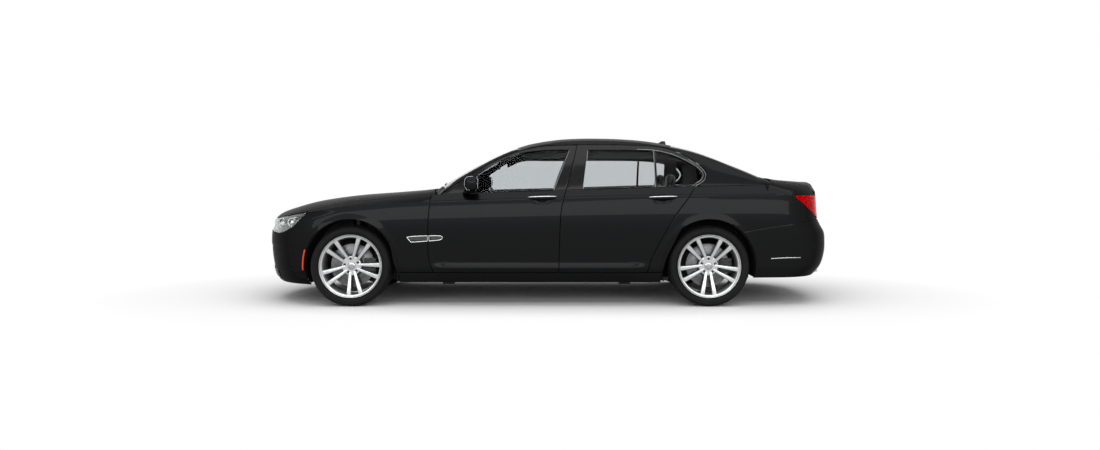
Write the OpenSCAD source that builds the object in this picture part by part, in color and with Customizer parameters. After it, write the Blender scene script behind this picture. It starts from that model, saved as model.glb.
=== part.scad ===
/* [Overall] */
// Length over the bumpers
length = 5079; // [4900:1:5250]
// Width of the body, without the mirrors
width = 1902; // [1840:1:1960]
// Height of the roof above the ground
height = 1471; // [1440:1:1510]
// Distance between the axles, as a share of the length
wheelbase_share = 0.60445; // [0.59:0.0005:0.62]
// From the nose to the front axle, as a share of the length
front_overhang_share = 0.1709; // [0.165:0.0005:0.177]

/* [Wheels] */
// Distance between the middles of the front tyres
front_track = 1611; // [1590:1:1620]
// Distance between the middles of the rear tyres
rear_track = 1621; // [1600:1:1630]
// Radius of the tyre as it stands loaded
tyre_r = 345; // [335:1:352]
// Width of the tyre
tyre_w = 245; // [225:1:255]
// Radius of the rim over its flange
rim_r = 272; // [255:1:280]
// Number of twin spokes
spoke_pairs = 5; // [4:1:6]
// Radius of the wheel bolt circle
bolt_circle_r = 60; // [56:0.5:60]
// Radius of the hub spindle
spindle_r = 22; // [18:1:26]
// Radius of the brake disc
disc_r = 187; // [160:1:195]
// Radius of the wheel arch opening
arch_r = 405; // [395:1:415]

/* [Panels] */
// Gap between neighbouring panels
gap = 5; // [3:0.5:8]
// Gap between neighbouring panels that do not move
seam = 0.8; // [0.4:0.1:1]
// Thickness of a door
door_t = 110; // [80:1:130]
// Thickness of a wing, roof or bumper wall
skin_t = 24; // [16:1:32]
// Thickness of the glass
glass_t = 5; // [4:0.5:6]
// How much the inner side of a door is smaller than its outer side, all round
door_taper = 26; // [15:1:40]
// How far the lip of a wheel arch stands out, and how wide it is
arch_lip = 7; // [0:0.5:9]
arch_lip_w = 46; // [40:1:60]

/* [Hidden] */
paint = [0.13, 0.135, 0.14];
fine = 72;

// Reference stations along the car, and where the driving sizes put them
ref_stations = [-2539.5, -1671.5, 1398.5, 2539.5];
wheelbase = round(length * wheelbase_share);
front_overhang = round(length * front_overhang_share);
front_axle_x = -length / 2 + front_overhang;
rear_axle_x = front_axle_x + wheelbase;
stations = [-length / 2, front_axle_x, rear_axle_x, length / 2];

// Small vector helpers
function lerp(a, b, t) = a + (b - a) * t;
function clamp(v, lo, hi) = max(lo, min(hi, v));
function last(p) = p[len(p) - 1];

// A length, width or height of the reference design, at the driving sizes
function sx(x) =
    let (i = x < ref_stations[1] ? 0 : x < ref_stations[2] ? 1 : 2)
    lerp(stations[i], stations[i + 1], (x - ref_stations[i]) / (ref_stations[i + 1] - ref_stations[i]));
ref_width = 1902;
ref_height = 1471;
function sy(y) = y * width / ref_width;
function sz(z) = z * height / ref_height;
function side_points(p) = [for (q = p) [sx(q[0]), sz(q[1])]];
function plan_points(p) = [for (q = p) [sx(q[0]), sy(q[1])]];

// Value at x of a smooth curve through points [x, value]
function slope_at(p, i) =
    let (a = p[max(i - 1, 0)], b = p[min(i + 1, len(p) - 1)]) (b[1] - a[1]) / (b[0] - a[0]);
function segment_of(p, x) =
    let (below = [for (k = [0 : len(p) - 2]) if (p[k][0] <= x) k]) len(below) == 0 ? 0 : last(below);
function along(p, x) =
    x <= p[0][0] ? p[0][1] : x >= last(p)[0] ? last(p)[1] :
    let (
        i = segment_of(p, x), h = p[i + 1][0] - p[i][0], t = (x - p[i][0]) / h,
        m0 = slope_at(p, i) * h, m1 = slope_at(p, i + 1) * h
    )
    (2 * t ^ 3 - 3 * t ^ 2 + 1) * p[i][1] + (t ^ 3 - 2 * t ^ 2 + t) * m0
    + (3 * t ^ 2 - 2 * t ^ 3) * p[i + 1][1] + (t ^ 3 - t ^ 2) * m1;

// Points at equal steps along a smooth curve through points
function chords(p, i = 0, sum = 0) =
    i == len(p) - 1 ? [sum] : concat([sum], chords(p, i + 1, sum + norm(p[i + 1] - p[i])));
function sample(p, n) =
    let (c = chords(p), dims = len(p[0]) - 1)
    [for (k = [0 : n]) [for (d = [0 : dims])
        along([for (i = [0 : len(p) - 1]) [c[i], p[i][d]]], last(c) * k / n)]];
function straight(a, b, n) = [for (k = [0 : n]) lerp(a, b, k / n)];

// Body lines in side view: [station, height]
bonnet_line = side_points([[-2532, 700], [-2505, 756], [-2430, 796], [-2351, 822], [-2199, 866], [-2046, 899],
    [-1740, 940], [-1435, 963], [-1129, 988], [-960, 1008]]);
cabin_line = side_points([[-1010, 1000], [-900, 1066], [-747, 1156], [-594, 1237], [-442, 1312], [-289, 1374],
    [-136, 1420], [93, 1457], [300, 1470], [475, 1471], [704, 1464], [934, 1444], [1163, 1405], [1316, 1368],
    [1468, 1317], [1621, 1257], [1774, 1197], [1927, 1131], [2000, 1098]]);
boot_line = side_points([[1900, 1118], [1985, 1100], [2080, 1086], [2233, 1074], [2385, 1063],
    [2450, 1062], [2490, 1040]]);
crease_line = side_points([[-2532, 700], [-2440, 733], [-2300, 764], [-2018, 811], [-1700, 858],
    [-1171, 892], [-144, 926],
    [909, 951], [1600, 958], [2115, 952], [2490, 930]]);
belt_line = side_points([[-1010, 954], [-442, 978], [79, 991], [700, 1011], [1292, 1027], [1960, 1040]]);
nose_line = [for (q = [[150, -2440], [185, -2480], [240, -2508], [330, -2526], [430, -2538],
    [540, -2539.5], [640, -2533],
    [700, -2520], [760, -2488], [820, -2400]]) [sz(q[0]), sx(q[1])]];
tail_line = [for (q = [[190, 2380], [244, 2440], [330, 2505], [440, 2536], [540, 2539.5], [620, 2530],
    [680, 2496],
    [740, 2470], [863, 2460], [1009, 2462], [1060, 2476]]) [sz(q[0]), sx(q[1])]];

// Half width of the body at its waist, and how far the side lies inside that
waist = plan_points([[-2540, 915], [-1672, 942], [-900, 946], [0, 951], [900, 951], [1398, 949],
    [2000, 915], [2540, 868]]);
sill_inset = [[150, 150], [200, 96], [285, 44], [322, 24], [336, 20], [376, 38]];
sill_inset_plain = [[150, 150], [200, 96], [285, 60], [322, 46], [336, 43], [376, 38]];
side_inset = [[0, 38], [0.3, 16], [0.62, 0], [0.86, 8], [1, 24]];
shoulder_lean = 0.72;
nose_round = 660;
nose_power = 2.35;
tail_round = 520;
tail_power = 3.1;
tumble = 0.40;
tumble_curve = 0.0004;
roof_crown = 45;
roof_half = 640;

function nose_x(z) = along(nose_line, z);
function tail_x(z) = along(tail_line, z);
function crease_z(x) = along(crease_line, x);
function belt_z(x) = along(belt_line, x);
function rounding(t, p) = t <= 0 ? 0 : t >= 1 ? 1 : (1 - (1 - t) ^ p) ^ (1 / p);
band_z = sz(376);
function ramp(v) = let (t = clamp(v, 0, 1)) t * t * (3 - 2 * t);
function band_share(x) = ramp((x - sx(-1060)) / 260) * (1 - ramp((x - sx(700)) / 240));
function inset(x, z) =
    let (c = crease_z(x))
    z <= band_z ? let (h = z * ref_height / height)
        sy(lerp(along(sill_inset_plain, h), along(sill_inset, h), band_share(x)))
    : z <= c ? sy(along(side_inset, (z - band_z) / (c - band_z)))
    : sy(24) + (z - c) * shoulder_lean;

// Half width of the body side at station x and height z
function side_y(x, z) =
    (along(waist, x) - inset(x, z))
    * rounding((x - nose_x(z)) / nose_round, nose_power)
    * rounding((tail_x(z) - x) / tail_round, tail_power);
// How far the wheel arches' lips stand out of it
function arch_flare(x, z) =
    let (d = min(norm([x - front_axle_x, z - tyre_r]), norm([x - rear_axle_x, z - tyre_r])) - arch_r)
    arch_lip * (1 - clamp(d / arch_lip_w, 0, 1)) * clamp((z - sz(230)) / sz(120), 0, 1);
function side_pt(q) = [q[0], -side_y(q[0], q[1]) - arch_flare(q[0], q[1]), q[1]];
function crease_y(x) = side_y(x, crease_z(x));

// Half width of the cabin side above the belt
function cabin_y(x, z) =
    let (b = belt_z(x), d = max(0, z - b)) side_y(x, b) - 4 - tumble * d - tumble_curve * d * d;
function cabin_pt(q) = [q[0], -cabin_y(q[0], q[1]), q[1]];

// Height of the top surfaces
bonnet_power = [for (q = [[-2500, 2.2], [-1900, 3], [-1000, 5.2]]) [sx(q[0]), q[1]]];
boot_power = [for (q = [[1900, 8], [2100, 5.5], [2480, 4.5]]) [sx(q[0]), q[1]]];
function crowned(x, y, centre, power) =
    centre - (centre - crease_z(x)) * clamp(abs(y) / max(crease_y(x), 1), 0, 1) ^ power;
function bonnet_pt(q) = [q[0], q[1], crowned(q[0], q[1], along(bonnet_line, q[0]),
    along(bonnet_power, q[0]))];
function boot_pt(q) = [q[0], q[1], crowned(q[0], q[1], along(boot_line, q[0]), along(boot_power, q[0]))];
function cabin_top_z(x, y) = along(cabin_line, x) - sz(roof_crown) * (abs(y) / sy(roof_half)) ^ 2.2;
function cabin_top_pt(q) = [q[0], q[1], cabin_top_z(q[0], q[1])];
// Half width where the cabin side meets the roof or a windscreen
function rail_y(x, y = 640, n = 6) = n == 0 ? y : rail_y(x, cabin_y(x, cabin_top_z(x, y)), n - 1);

// Points round the nose and the tail: a is 0 in the middle and 90 where the side begins
side_per_degree = 8;
function power_of(v, e) = v <= 0 ? 0 : v ^ e;
function nose_pt(q) =
    let (a = q[0], z = q[1], s = sign(a), b = min(abs(a), 90),
        x = nose_x(z) + nose_round * (1 - power_of(cos(b), 2 / nose_power))
            + max(0, abs(a) - 90) * side_per_degree)
    [x, -s * ((along(waist, x) - inset(x, z)) * power_of(sin(b), 2 / nose_power) + arch_flare(x, z)), z];
function tail_pt(q) =
    let (a = q[0], z = q[1], s = sign(a), b = min(abs(a), 90),
        x = tail_x(z) - tail_round * (1 - power_of(cos(b), 2 / tail_power))
            - max(0, abs(a) - 90) * side_per_degree)
    [x, -s * ((along(waist, x) - inset(x, z)) * power_of(sin(b), 2 / tail_power) + arch_flare(x, z)), z];
function round_angle(t, p, side) = t >= 1 ? 90 + side / side_per_degree
    : acos(power_of(1 - max(t, 0), p / 2));
function nose_angle(q) =
    let (d = q[0] - nose_x(q[1])) [round_angle(d / nose_round, nose_power, d - nose_round), q[1]];
function tail_angle(q) =
    let (d = tail_x(q[1]) - q[0]) [round_angle(d / tail_round, tail_power, d - tail_round), q[1]];
function tail_at_y(y, z) = tail_pt([-sign(y) * asin(power_of(abs(y) / (along(waist, tail_x(z))
    - inset(tail_x(z), z)), tail_power / 2)), z]);
function inward_angle(a) = sign(a) * along([[0, 0], [40, 40], [65, 90], [70, 90]], abs(a));
function nose_in(q, d) = nose_pt(q) + d * [cos(inward_angle(q[0])), sin(inward_angle(q[0])), 0];
function tail_in(q, d) = tail_pt(q) + d * [-cos(inward_angle(q[0])), sin(inward_angle(q[0])), 0];
function nose_grid(g, d = 0) = [for (row = g) [for (q = row) nose_in(q, d)]];
function tail_grid(g, d = 0) = [for (row = g) [for (q = row) tail_in(q, d)]];
// A grid given for the left half, carried on over the middle to the right half
function whole(g) = [for (row = g)
    concat([for (k = [len(row) - 1 : -1 : 1]) [-row[k][0], row[k][1]]], row)];

// Grids of points
function coons(b, t, l, r) =
    let (n = len(b) - 1, m = len(l) - 1)
    [for (j = [0 : m]) [for (i = [0 : n]) let (s = i / n, v = j / m)
        lerp(b[i], t[i], v) + lerp(l[j], r[j], s)
        - lerp(lerp(b[0], b[n], s), lerp(t[0], t[n], s), v)]];
function ruled(b, t, m) = [for (j = [0 : m]) [for (i = [0 : len(b) - 1]) lerp(b[i], t[i], j / m)]];
function side_grid(g) = [for (row = g) [for (q = row) side_pt(q)]];
function cabin_grid(g) = [for (row = g) [for (q = row) cabin_pt(q)]];
function shifted(g, d) = [for (row = g) [for (q = row) q + d]];
// The inner side of a panel: moved in by d, and smaller by a taper all round
function shrunk(g, d, taper) =
    let (
        m = len(g) - 1, n = len(g[0]) - 1,
        wide = norm(g[round(m / 2)][n] - g[round(m / 2)][0]),
            tall = norm(g[m][round(n / 2)] - g[0][round(n / 2)])
    )
    [for (j = [0 : m]) [for (i = [0 : n])
        let (s = lerp(taper / wide, 1 - taper / wide, i / n) * n,
            v = lerp(taper / tall, 1 - taper / tall, j / m) * m,
            i0 = min(floor(s), n - 1), j0 = min(floor(v), m - 1))
        d + lerp(lerp(g[j0][i0], g[j0][i0 + 1], s - i0), lerp(g[j0 + 1][i0], g[j0 + 1][i0 + 1], s - i0),
            v - j0)]];

// A closed panel between an outer and an inner grid of points
module panel(outer, inner) {
    m = len(outer) - 1;
    n = len(outer[0]) - 1;
    count = (m + 1) * (n + 1);
    jm = floor(m / 2);
    im = floor(n / 2);
    out = cross(outer[jm][im + 1] - outer[jm][im], outer[jm + 1][im] - outer[jm][im]) * (outer[jm][im]
        - inner[jm][im]) > 0;
    function id(j, i, k) = k * count + j * (n + 1) + i;
    function quad(a, b, c, d, f) = f ? [[a, c, b], [a, d, c]] : [[a, b, c], [a, c, d]];
    skins = [for (j = [0 : m - 1]) for (i = [0 : n - 1]) for (k = [0, 1])
        each quad(id(j, i, k), id(j, i + 1, k), id(j + 1, i + 1, k), id(j + 1, i, k), (k == 0) == out)];
    sides = [for (i = [0 : n - 1]) each concat(
        quad(id(0, i, 0), id(0, i + 1, 0), id(0, i + 1, 1), id(0, i, 1), !out),
        quad(id(m, i, 0), id(m, i + 1, 0), id(m, i + 1, 1), id(m, i, 1), out))];
    ends = [for (j = [0 : m - 1]) each concat(
        quad(id(j, 0, 0), id(j + 1, 0, 0), id(j + 1, 0, 1), id(j, 0, 1), out),
        quad(id(j, n, 0), id(j + 1, n, 0), id(j + 1, n, 1), id(j, n, 1), !out))];
    polyhedron(
        points = [for (g = [outer, inner]) for (row = g) each row],
        faces = concat(skins, sides, ends));
}
module both_sides() {
    children();
    mirror([0, 1, 0]) children();
}
module on_side(right) {
    if (right) mirror([0, 1, 0]) children();
    else children();
}

// Levels of the floor
floor_z = sz(205);
floor_t = 30;
floor_top = floor_z + floor_t;
tunnel_half = 115;
tunnel_h = 170;
boot_floor_z = tyre_r + 115;
apron_z = sz(770);
rail_z = 330;
rail_h = 110;

// Stations and walls of the chassis, and the clearance where two of its pieces are joined
bulkhead_x = sx(-1040);
bulkhead_t = 30;
boot_x = sx(1040);
boot_end_x = sx(2380);
boot_wall_t = 24;
beam_x = sx(-2437.4);
beam_t = 50;
seat_gap = 0.3;

// Panel edges in side view, left side
front_arch = [front_axle_x, tyre_r];
rear_arch = [rear_axle_x, tyre_r];
door_bottom_z = sz(290);
sill_bottom_z = sz(200);
floor_half = sy(740);
boot_half = rear_track / 2 - tyre_w / 2 - 28;
strut_y = front_track / 2 - tyre_w / 2 - 123;
rail_half = strut_y - 80;
door_front_edge = side_points([[-962, 290], [-998, 400], [-1003, 650], [-990, 880], [-978, 955]]);
door_mid_edge = side_points([[112, 290], [116, 500], [134, 835], [172, 994]]);
door_rear_edge = side_points([[868, 290], [903, 414], [960, 529], [1085, 750], [1286, 1027]]);
function moved(p, d) = [for (q = p) q + d];
arch_foot_a = asin((tyre_r - sz(290)) / arch_r);
function arch_pt(c, a) = c + arch_r * [cos(a), sin(a)];
function arch_path(c, a0, a1, n) = [for (k = [0 : n]) arch_pt(c, lerp(a0, a1, k / n))];
function tail_of(p) = [for (k = [1 : len(p) - 1]) p[k]];
// The part of an upright edge up to a height, as points at equal heights
function x_at(edge, z) = along([for (q = edge) [q[1], q[0]]], z);
function edge_part(edge, z0, z1, n) = [for (k = [0 : n]) let (z = lerp(z0, z1, k / n)) [x_at(edge, z), z]];

// Front wing: from the headlamp round the arch to the door, and over the crease to the bonnet
arch_front_a = 131;
lamp_corner = [sx(-2174), sz(683)];
lamp_tip_x = sx(-2050);
lamp_rear = straight(lamp_corner, [lamp_tip_x, crease_z(lamp_tip_x)], 3);
wing_joint = straight(lamp_corner, arch_pt(front_arch, arch_front_a), 3);
function bonnet_edge_y(x) =
    crease_y(x) - along([[sx(-2150), 8], [sx(-1900), 60], [sx(-1600), 105], [sx(-960), 118]], x);
wing_rear_edge = moved(door_front_edge, [-gap, 0]);
wing_low = concat(
    wing_joint,
    tail_of(arch_path(front_arch, arch_front_a, -arch_foot_a, 10)),
    tail_of(straight(arch_pt(front_arch, -arch_foot_a), wing_rear_edge[0], 5)));
wing_high = let (n = len(wing_low) - 1, x1 = x_at(wing_rear_edge, sz(897)))
    [for (k = [0 : n]) k < 3 ? lamp_rear[k] + [0, k == 0 ? 1 : 0]
        : let (x = lerp(lamp_tip_x, x1, (k - 3) / (n - 3))) [x, crease_z(x)]];
module front_wing() {
    rows = 6;
    flat = coons(wing_low, wing_high, straight(wing_low[0], wing_high[0], rows),
        edge_part(wing_rear_edge, last(wing_low)[1], last(wing_high)[1], rows));
    side = side_grid(flat);
    top = [for (j = [1 : 2]) [for (q = wing_high)
        q[0] < lamp_tip_x - 1 ? side_pt(q) + [0, j * 4, 0]
        : bonnet_pt([q[0], -lerp(crease_y(q[0]), bonnet_edge_y(q[0]) + gap, j / 2)])]];
    inner = concat(shifted(side, [0, skin_t, 0]), shifted(top, [0, skin_t, -skin_t]));
    n = len(wing_low) - 1;
    panel(concat(side, top), [for (row = inner) [for (k = [0 : n]) row[k]
        - (k == n ? [14, 0, 0] : [0, 0, 0])]]);
}
module front_wings() color(paint) both_sides() front_wing();

module sill() {
    z1 = door_bottom_z - gap;
    x0 = front_axle_x + arch_r + gap;
    x1 = rear_axle_x - arch_r - gap;
    g = ruled(straight([x0, sill_bottom_z], [x1, sill_bottom_z], 8), straight([x0, z1], [x1, z1], 8), 2);
    panel(side_grid(g), [for (row = g) [for (q = row) [q[0], -floor_half, q[1]]]]);
}
jack_pads_x = [sx(-841), sx(681)];
jack_pad_z = sz(184);
module sills() color(paint) both_sides() {
    sill();
    for (x = jack_pads_x) translate([x - 50, -825, jack_pad_z])
        cube([100, 70, sill_bottom_z - jack_pad_z + 12]);
}

// Rear quarter: from the rear door round the arch to the tail lamp, and over the crease
quarter_front_edge = moved(door_rear_edge, [gap, 0]);
arch_rear_a = 47;
tail_lamp_tip_x = sx(2131);
c_pillar_x = sx(1900);
lid_front_x = sx(1990);
lid_half = sy(640);
quarter_end = side_points([[2395, 742]])[0];
tail_joint = sample([arch_pt(rear_arch, arch_rear_a), side_points([[2150, 715]])[0], quarter_end], 6);
quarter_low = concat(
    straight(quarter_front_edge[0], arch_pt(rear_arch, 180 + arch_foot_a), 2),
    tail_of(arch_path(rear_arch, 180 + arch_foot_a, arch_rear_a, 10)),
    tail_of(tail_joint));
quarter_high = let (n = len(quarter_low) - 1, x0 = x_at(quarter_front_edge, sz(955)))
    [for (k = [0 : n]) let (x = lerp(x0, tail_lamp_tip_x, k / n)) [x, crease_z(x)]];
tail_lamp_edge = straight(quarter_end, last(quarter_high), 6);
// Angle round the tail of a point that lies y off the middle
function tail_angle_at_y(y, z) = asin(power_of(y / (along(waist, tail_x(z)) - inset(tail_x(z), z)),
    tail_power / 2));
function lid_side_y(z) = lerp(sy(560), sy(600), clamp((z - sz(738)) / sz(260), 0, 1));
module quarter_top() {
    n = 8;
    a0 = tail_angle([tail_lamp_tip_x, crease_z(tail_lamp_tip_x)])[0];
    a1 = tail_angle_at_y(sy(600) + gap, sz(940));
    x1 = lid_edge(-1)[0] - 4;
    g = [for (j = [0 : 3]) [for (k = [0 : n])
        let (a = lerp(a0, a1, k / n), x = lerp(tail_lamp_tip_x, x1, k / n),
            b = tail_pt([a, crease_z(tail_lamp_tip_x) - 8 * k / n]),
            t = [x, -lerp(lid_half, sy(600), (x - lid_front_x) / (x1 - lid_front_x)) - gap - 0.3])
        boot_pt(lerp([b[0], b[1]], t, j / 3 * (k == n ? 0.5 : 1)))]];
    panel(g, shifted(g, [0, 0, -22]));
}
module rear_quarter() {
    quarter_top();
    rows = 6;
    flat = coons(quarter_low, quarter_high,
        edge_part(quarter_front_edge, quarter_low[0][1], quarter_high[0][1], rows),
        tail_lamp_edge);
    side = side_grid(flat);
    top = [for (j = [1 : 3]) [for (k = [0 : len(quarter_high) - 1])
        let (q = quarter_high[k], x = k == 0 ? x_at(quarter_front_edge, lerp(q[1], belt_z(q[0]), j / 3))
            : q[0],
            low = side_pt([x, lerp(q[1], belt_z(x), j / 3)]),
            lid = boot_pt([x, -lerp(crease_y(x), lid_half + gap, j / 3)]))
        lerp(low, lid, clamp((x - c_pillar_x) / (lid_front_x - c_pillar_x), 0, 1))]];
    inner_top = [for (row = top) [for (q = row) q
        + [0, skin_t, -skin_t * clamp((q[0] - c_pillar_x) / 80, 0, 1)]]];
    inner = concat(shifted(side, [0, skin_t, 0]), inner_top);
    panel(concat(side, top), [for (row = inner) [for (k = [0 : len(row) - 1]) row[k]
        + (k == 0 ? [8, 0, 0] : [0, 0, 0])]]);
}
module rear_quarters() color(paint) both_sides() rear_quarter();

// Windscreen, rear window and roof
screen_half = [sy(785), sy(600)];
rear_glass_half = [sy(590), sy(640)];
function header_x(y) = sx(-285) + 60 * (y / screen_half[1]) ^ 2;
function rear_header_x(y) = sx(1165) - 60 * (y / rear_glass_half[0]) ^ 2;
function screen_at(u, v) =
    let (y = u * lerp(screen_half[0], screen_half[1], v)) [lerp(sx(-962) + 90 * (y / screen_half[0]) ^ 2,
        header_x(y), v), y];
function rear_glass_at(u, v) =
    let (y = u * lerp(rear_glass_half[0], rear_glass_half[1], v))
    [lerp(rear_header_x(y), sx(1935) - 55 * (y / rear_glass_half[0]) ^ 2, v), y];
function plate_grid(m, n) = [for (j = [0 : m]) [for (i = [0 : n]) [2 * i / n - 1, j / m]]];
module windscreen() color([0.5, 0.55, 0.55, 0.5]) {
    g = [for (row = plate_grid(8, 12)) [for (q = row) cabin_top_pt(screen_at(q[0], q[1]))]];
    panel(g, shifted(g, [0, 0, -glass_t]));
}
module rear_window() color([0.5, 0.55, 0.55, 0.5]) {
    g = [for (row = plate_grid(8, 10)) [for (q = row) cabin_top_pt(rear_glass_at(q[0], q[1]))]];
    panel(g, shifted(g, [0, 0, -glass_t]));
}
rail_w = sy(75);
function roof_half_at(x) = rail_y(x) - rail_w;
function roof_at(u, v) =
    let (edge = lerp(screen_at(1, 1)[0], rear_glass_at(1, 0)[0], v), y = u * roof_half_at(edge))
    [lerp(header_x(y) + 1, rear_header_x(y) - 1, v), y];
module roof_panel() color(paint) {
    g = [for (row = plate_grid(6, 10)) [for (q = row) cabin_top_pt(roof_at(q[0], q[1]))]];
    panel(g, shifted(g, [0, 0, -skin_t]));
    fin_x = sx(1085);
    translate([fin_x, 0, cabin_top_z(fin_x, 0) - 4]) rotate([90, 0, 0])
        linear_extrude(height = 24, center = true) polygon([[-60, 0], [60, 0], [52, 36], [20, 30]]);
}

// Door window frames as pairs of points: outer edge, edge of the opening
front_frame = [[[-905, 948], [-600, 958]], [[-880, 968], [-600, 990]], [[-700, 1095], [-598, 1110]],
    [[-560, 1183], [-540, 1160]], [[-402, 1266], [-420, 1238]], [[-232, 1334], [-240, 1313]],
        [[-46, 1375], [-46, 1343]],
    [[130, 1386], [116, 1349]], [[272, 1388], [210, 1348]], [[222, 1180], [142, 1180]],
        [[172, 1000], [76, 1000]],
    [[160, 960], [66, 960]]];
rear_frame = [[[167, 960], [312, 960]], [[178, 1000], [318, 1000]], [[228, 1180], [343, 1180]],
    [[278, 1391], [368, 1348]],
    [[480, 1391], [500, 1348]], [[700, 1388], [700, 1347]], [[962, 1376], [950, 1338]],
        [[1120, 1338], [1100, 1302]],
    [[1250, 1272], [1215, 1248]], [[1340, 1205], [1300, 1193]], [[1392, 1140], [1345, 1140]],
        [[1378, 1092], [1330, 1085]],
    [[1322, 1048], [1262, 1040]], [[1262, 1005], [1200, 1005]]];
frame_t = 45;
frame_lean = 0.5;
module window_frame(f) {
    outer = side_points([for (p = f) p[0]]);
    open = side_points([for (p = f) p[1]]);
    g = cabin_grid([outer, open]);
    inner = [for (i = [0 : len(f) - 1]) lerp(g[0][i], g[1][i], frame_lean)];
    panel(g, shifted([inner, g[1]], [0, frame_t, 0]));
}

// Side frame above the doors: A-pillar, roof rail and C-pillar, with the B-pillar inside
rail_low = side_points([[-868, 985], [-790, 1042], [-690, 1107], [-555, 1192], [-398, 1274], [-230, 1342],
    [-46, 1382],
    [150, 1394], [480, 1396], [700, 1394], [965, 1382], [1125, 1344], [1256, 1277], [1347, 1209],
        [1399, 1142], [1400, 1085]]);
corner_x = sx(1400);
rail_base = [for (x = [1401, 1480, 1640, 1790, 1876]) [sx(x), belt_z(sx(x)) + seam]];
rail_path = concat(rail_low, rail_base);
rail_high = let (n = len(rail_path) - 1)
    [for (k = [0 : n]) k < 5 ? screen_at(-1, k / 5) + [0, -1]
        : k <= 11 ? let (x = lerp(screen_at(1, 1)[0], rear_glass_at(1, 0)[0], (k - 5) / 6)) [x,
            -roof_half_at(x) - 1]
        : rear_glass_at(-1, (k - 11) / (n - 11)) + [0, -1]];
module upper_side() {
    n = len(rail_path) - 1;
    corner = [for (k = [0 : n]) let (x = lerp(rail_path[k][0], rail_high[k][0], 0.5)) [x, -rail_y(x)]];
    outer = concat(
        [[for (k = [0 : n]) cabin_pt(rail_path[k])]],
        [[for (k = [0 : n]) let (c = cabin_top_pt(corner[k]))
            cabin_pt(lerp(rail_path[k], [c[0], c[2]], 0.55))]],
        [[for (k = [0 : n]) cabin_top_pt(corner[k])]],
        [[for (k = [0 : n]) cabin_top_pt(lerp(corner[k], rail_high[k], 0.5))]],
        [[for (k = [0 : n]) cabin_top_pt(rail_high[k])]]);
    rise = [for (k = [0 : n]) outer[2][k][2] - outer[0][k][2]];
    panel(outer, [for (j = [0 : 4]) [for (k = [0 : n]) outer[j][k]
        + [[0, 34, 0], [0, 34, 0], [0, 34, -min(20, 0.4 * rise[k])], [0, 22, -28], [0, 0, -30]][j]]]);
}
module pillar_corner() {
    low = concat(side_points([[1399, 1142], [1384, 1090], [1330, 1048]]),
        [[sx(1318), belt_z(corner_x) + seam + 0.4]]);
    g = cabin_grid([low, [for (q = low) [corner_x + 1, q[1]]]]);
    panel(g, shifted(g, [0, 34, 0]));
}
module b_pillar() {
    heights = concat([floor_top + seat_gap], [for (z = [400, 600, 800, 960, 1100, 1250, 1372]) sz(z)]);
    function out_y(x, z) = z > belt_z(x) ? cabin_y(x, z) - frame_t - 14
        : min(side_y(x, z) - door_t - 32, floor_half - 1);
    g = [for (z = heights) [for (d = [-50, z > sz(900) ? 45 : 116])
        let (x = x_at(door_mid_edge, min(z, sz(994))) + max(0, z - sz(994)) * 0.25 + d)
        [x, -(z > belt_z(x) ? min(out_y(x, z), out_y(x, sz(800))) : out_y(x, z)), z]]];
    panel(g, shifted(g, [0, 46, 0]));
    hinge_arms(rear_hinge_x, rear_hinge_y, floor_half - 1);
}
module upper_sides() color(paint) both_sides() {
    upper_side();
    pillar_corner();
    b_pillar();
}

// Door hinges: a pin on the body for each, in a notch of the door
pin_r = 6;
hinge_levels = [sz(500), sz(770)];
hinge_h = 70;
front_hinge_x = sx(-1003) + 80;
front_hinge_y = side_y(front_hinge_x, hinge_levels[0]) - 12;
rear_hinge_x = sx(116) + 100;
rear_hinge_y = side_y(rear_hinge_x, hinge_levels[0]) - 12;
front_post_y = sy(786);
module hinge_arms(x, y, post_y) for (z = hinge_levels) {
    translate([x, -y, z - 47]) cylinder(h = 94, r = pin_r, $fn = 48);
    translate([x - pin_r, -y, z - 30]) cube([2 * pin_r, y - post_y + 1, 60]);
}
module hinge_notches(x, y) for (z = hinge_levels) {
    translate([x, -y, z - 49]) cylinder(h = 98, r = pin_r + 0.05, $fn = 48);
    translate([x - 140, -y - 8, z - hinge_h / 2]) cube([149, 200, hinge_h]);
}

// Doors
function door_grid(front, rear, n, m) = side_grid(coons(
    straight(front[0], rear[0], n),
    [for (k = [0 : n]) let (x = lerp(last(front)[0], last(rear)[0], k / n)) [x, belt_z(x)]],
    sample(front, m), sample(rear, m)));
module door(front, rear, frame, hinge_x, hinge_y, handle_x) {
    g = door_grid(front, rear, 9, 9);
    difference() {
        panel(g, shrunk(g, [0, door_t, 0], door_taper));
        hinge_notches(hinge_x, hinge_y);
        handle_recess(handle_x);
    }
    window_frame(frame);
    handle(handle_x);
}
handle_z = sz(930);
handle_l = 240;
recess_r = 60;
module handle(x) {
    y = side_y(x, handle_z);
    translate([x - handle_l / 2, -y - 20, handle_z - 12]) cube([handle_l, 12, 24]);
    for (d = [-110, 80]) translate([x + d, -y - 10, handle_z - 10]) cube([30, 40, 20]);
}
module handle_recess(x) translate([x - 78, -side_y(x, handle_z) - recess_r + 15, handle_z])
    rotate([0, 90, 0]) cylinder(h = 156, r = recess_r, $fn = fine);
module door_front(right) color(paint) on_side(right) {
    door(door_front_edge, moved(door_mid_edge, [-gap / 2, 0]), front_frame, front_hinge_x, front_hinge_y,
        sx(-30));
}
module door_rear(right) color(paint) on_side(right) {
    door(moved(door_mid_edge, [gap / 2, 0]), door_rear_edge, rear_frame, rear_hinge_x, rear_hinge_y,
        sx(1000));
}
module door_front_left() door_front(false);
module door_front_right() door_front(true);
module door_rear_left() door_rear(false);
module door_rear_right() door_rear(true);

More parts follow.
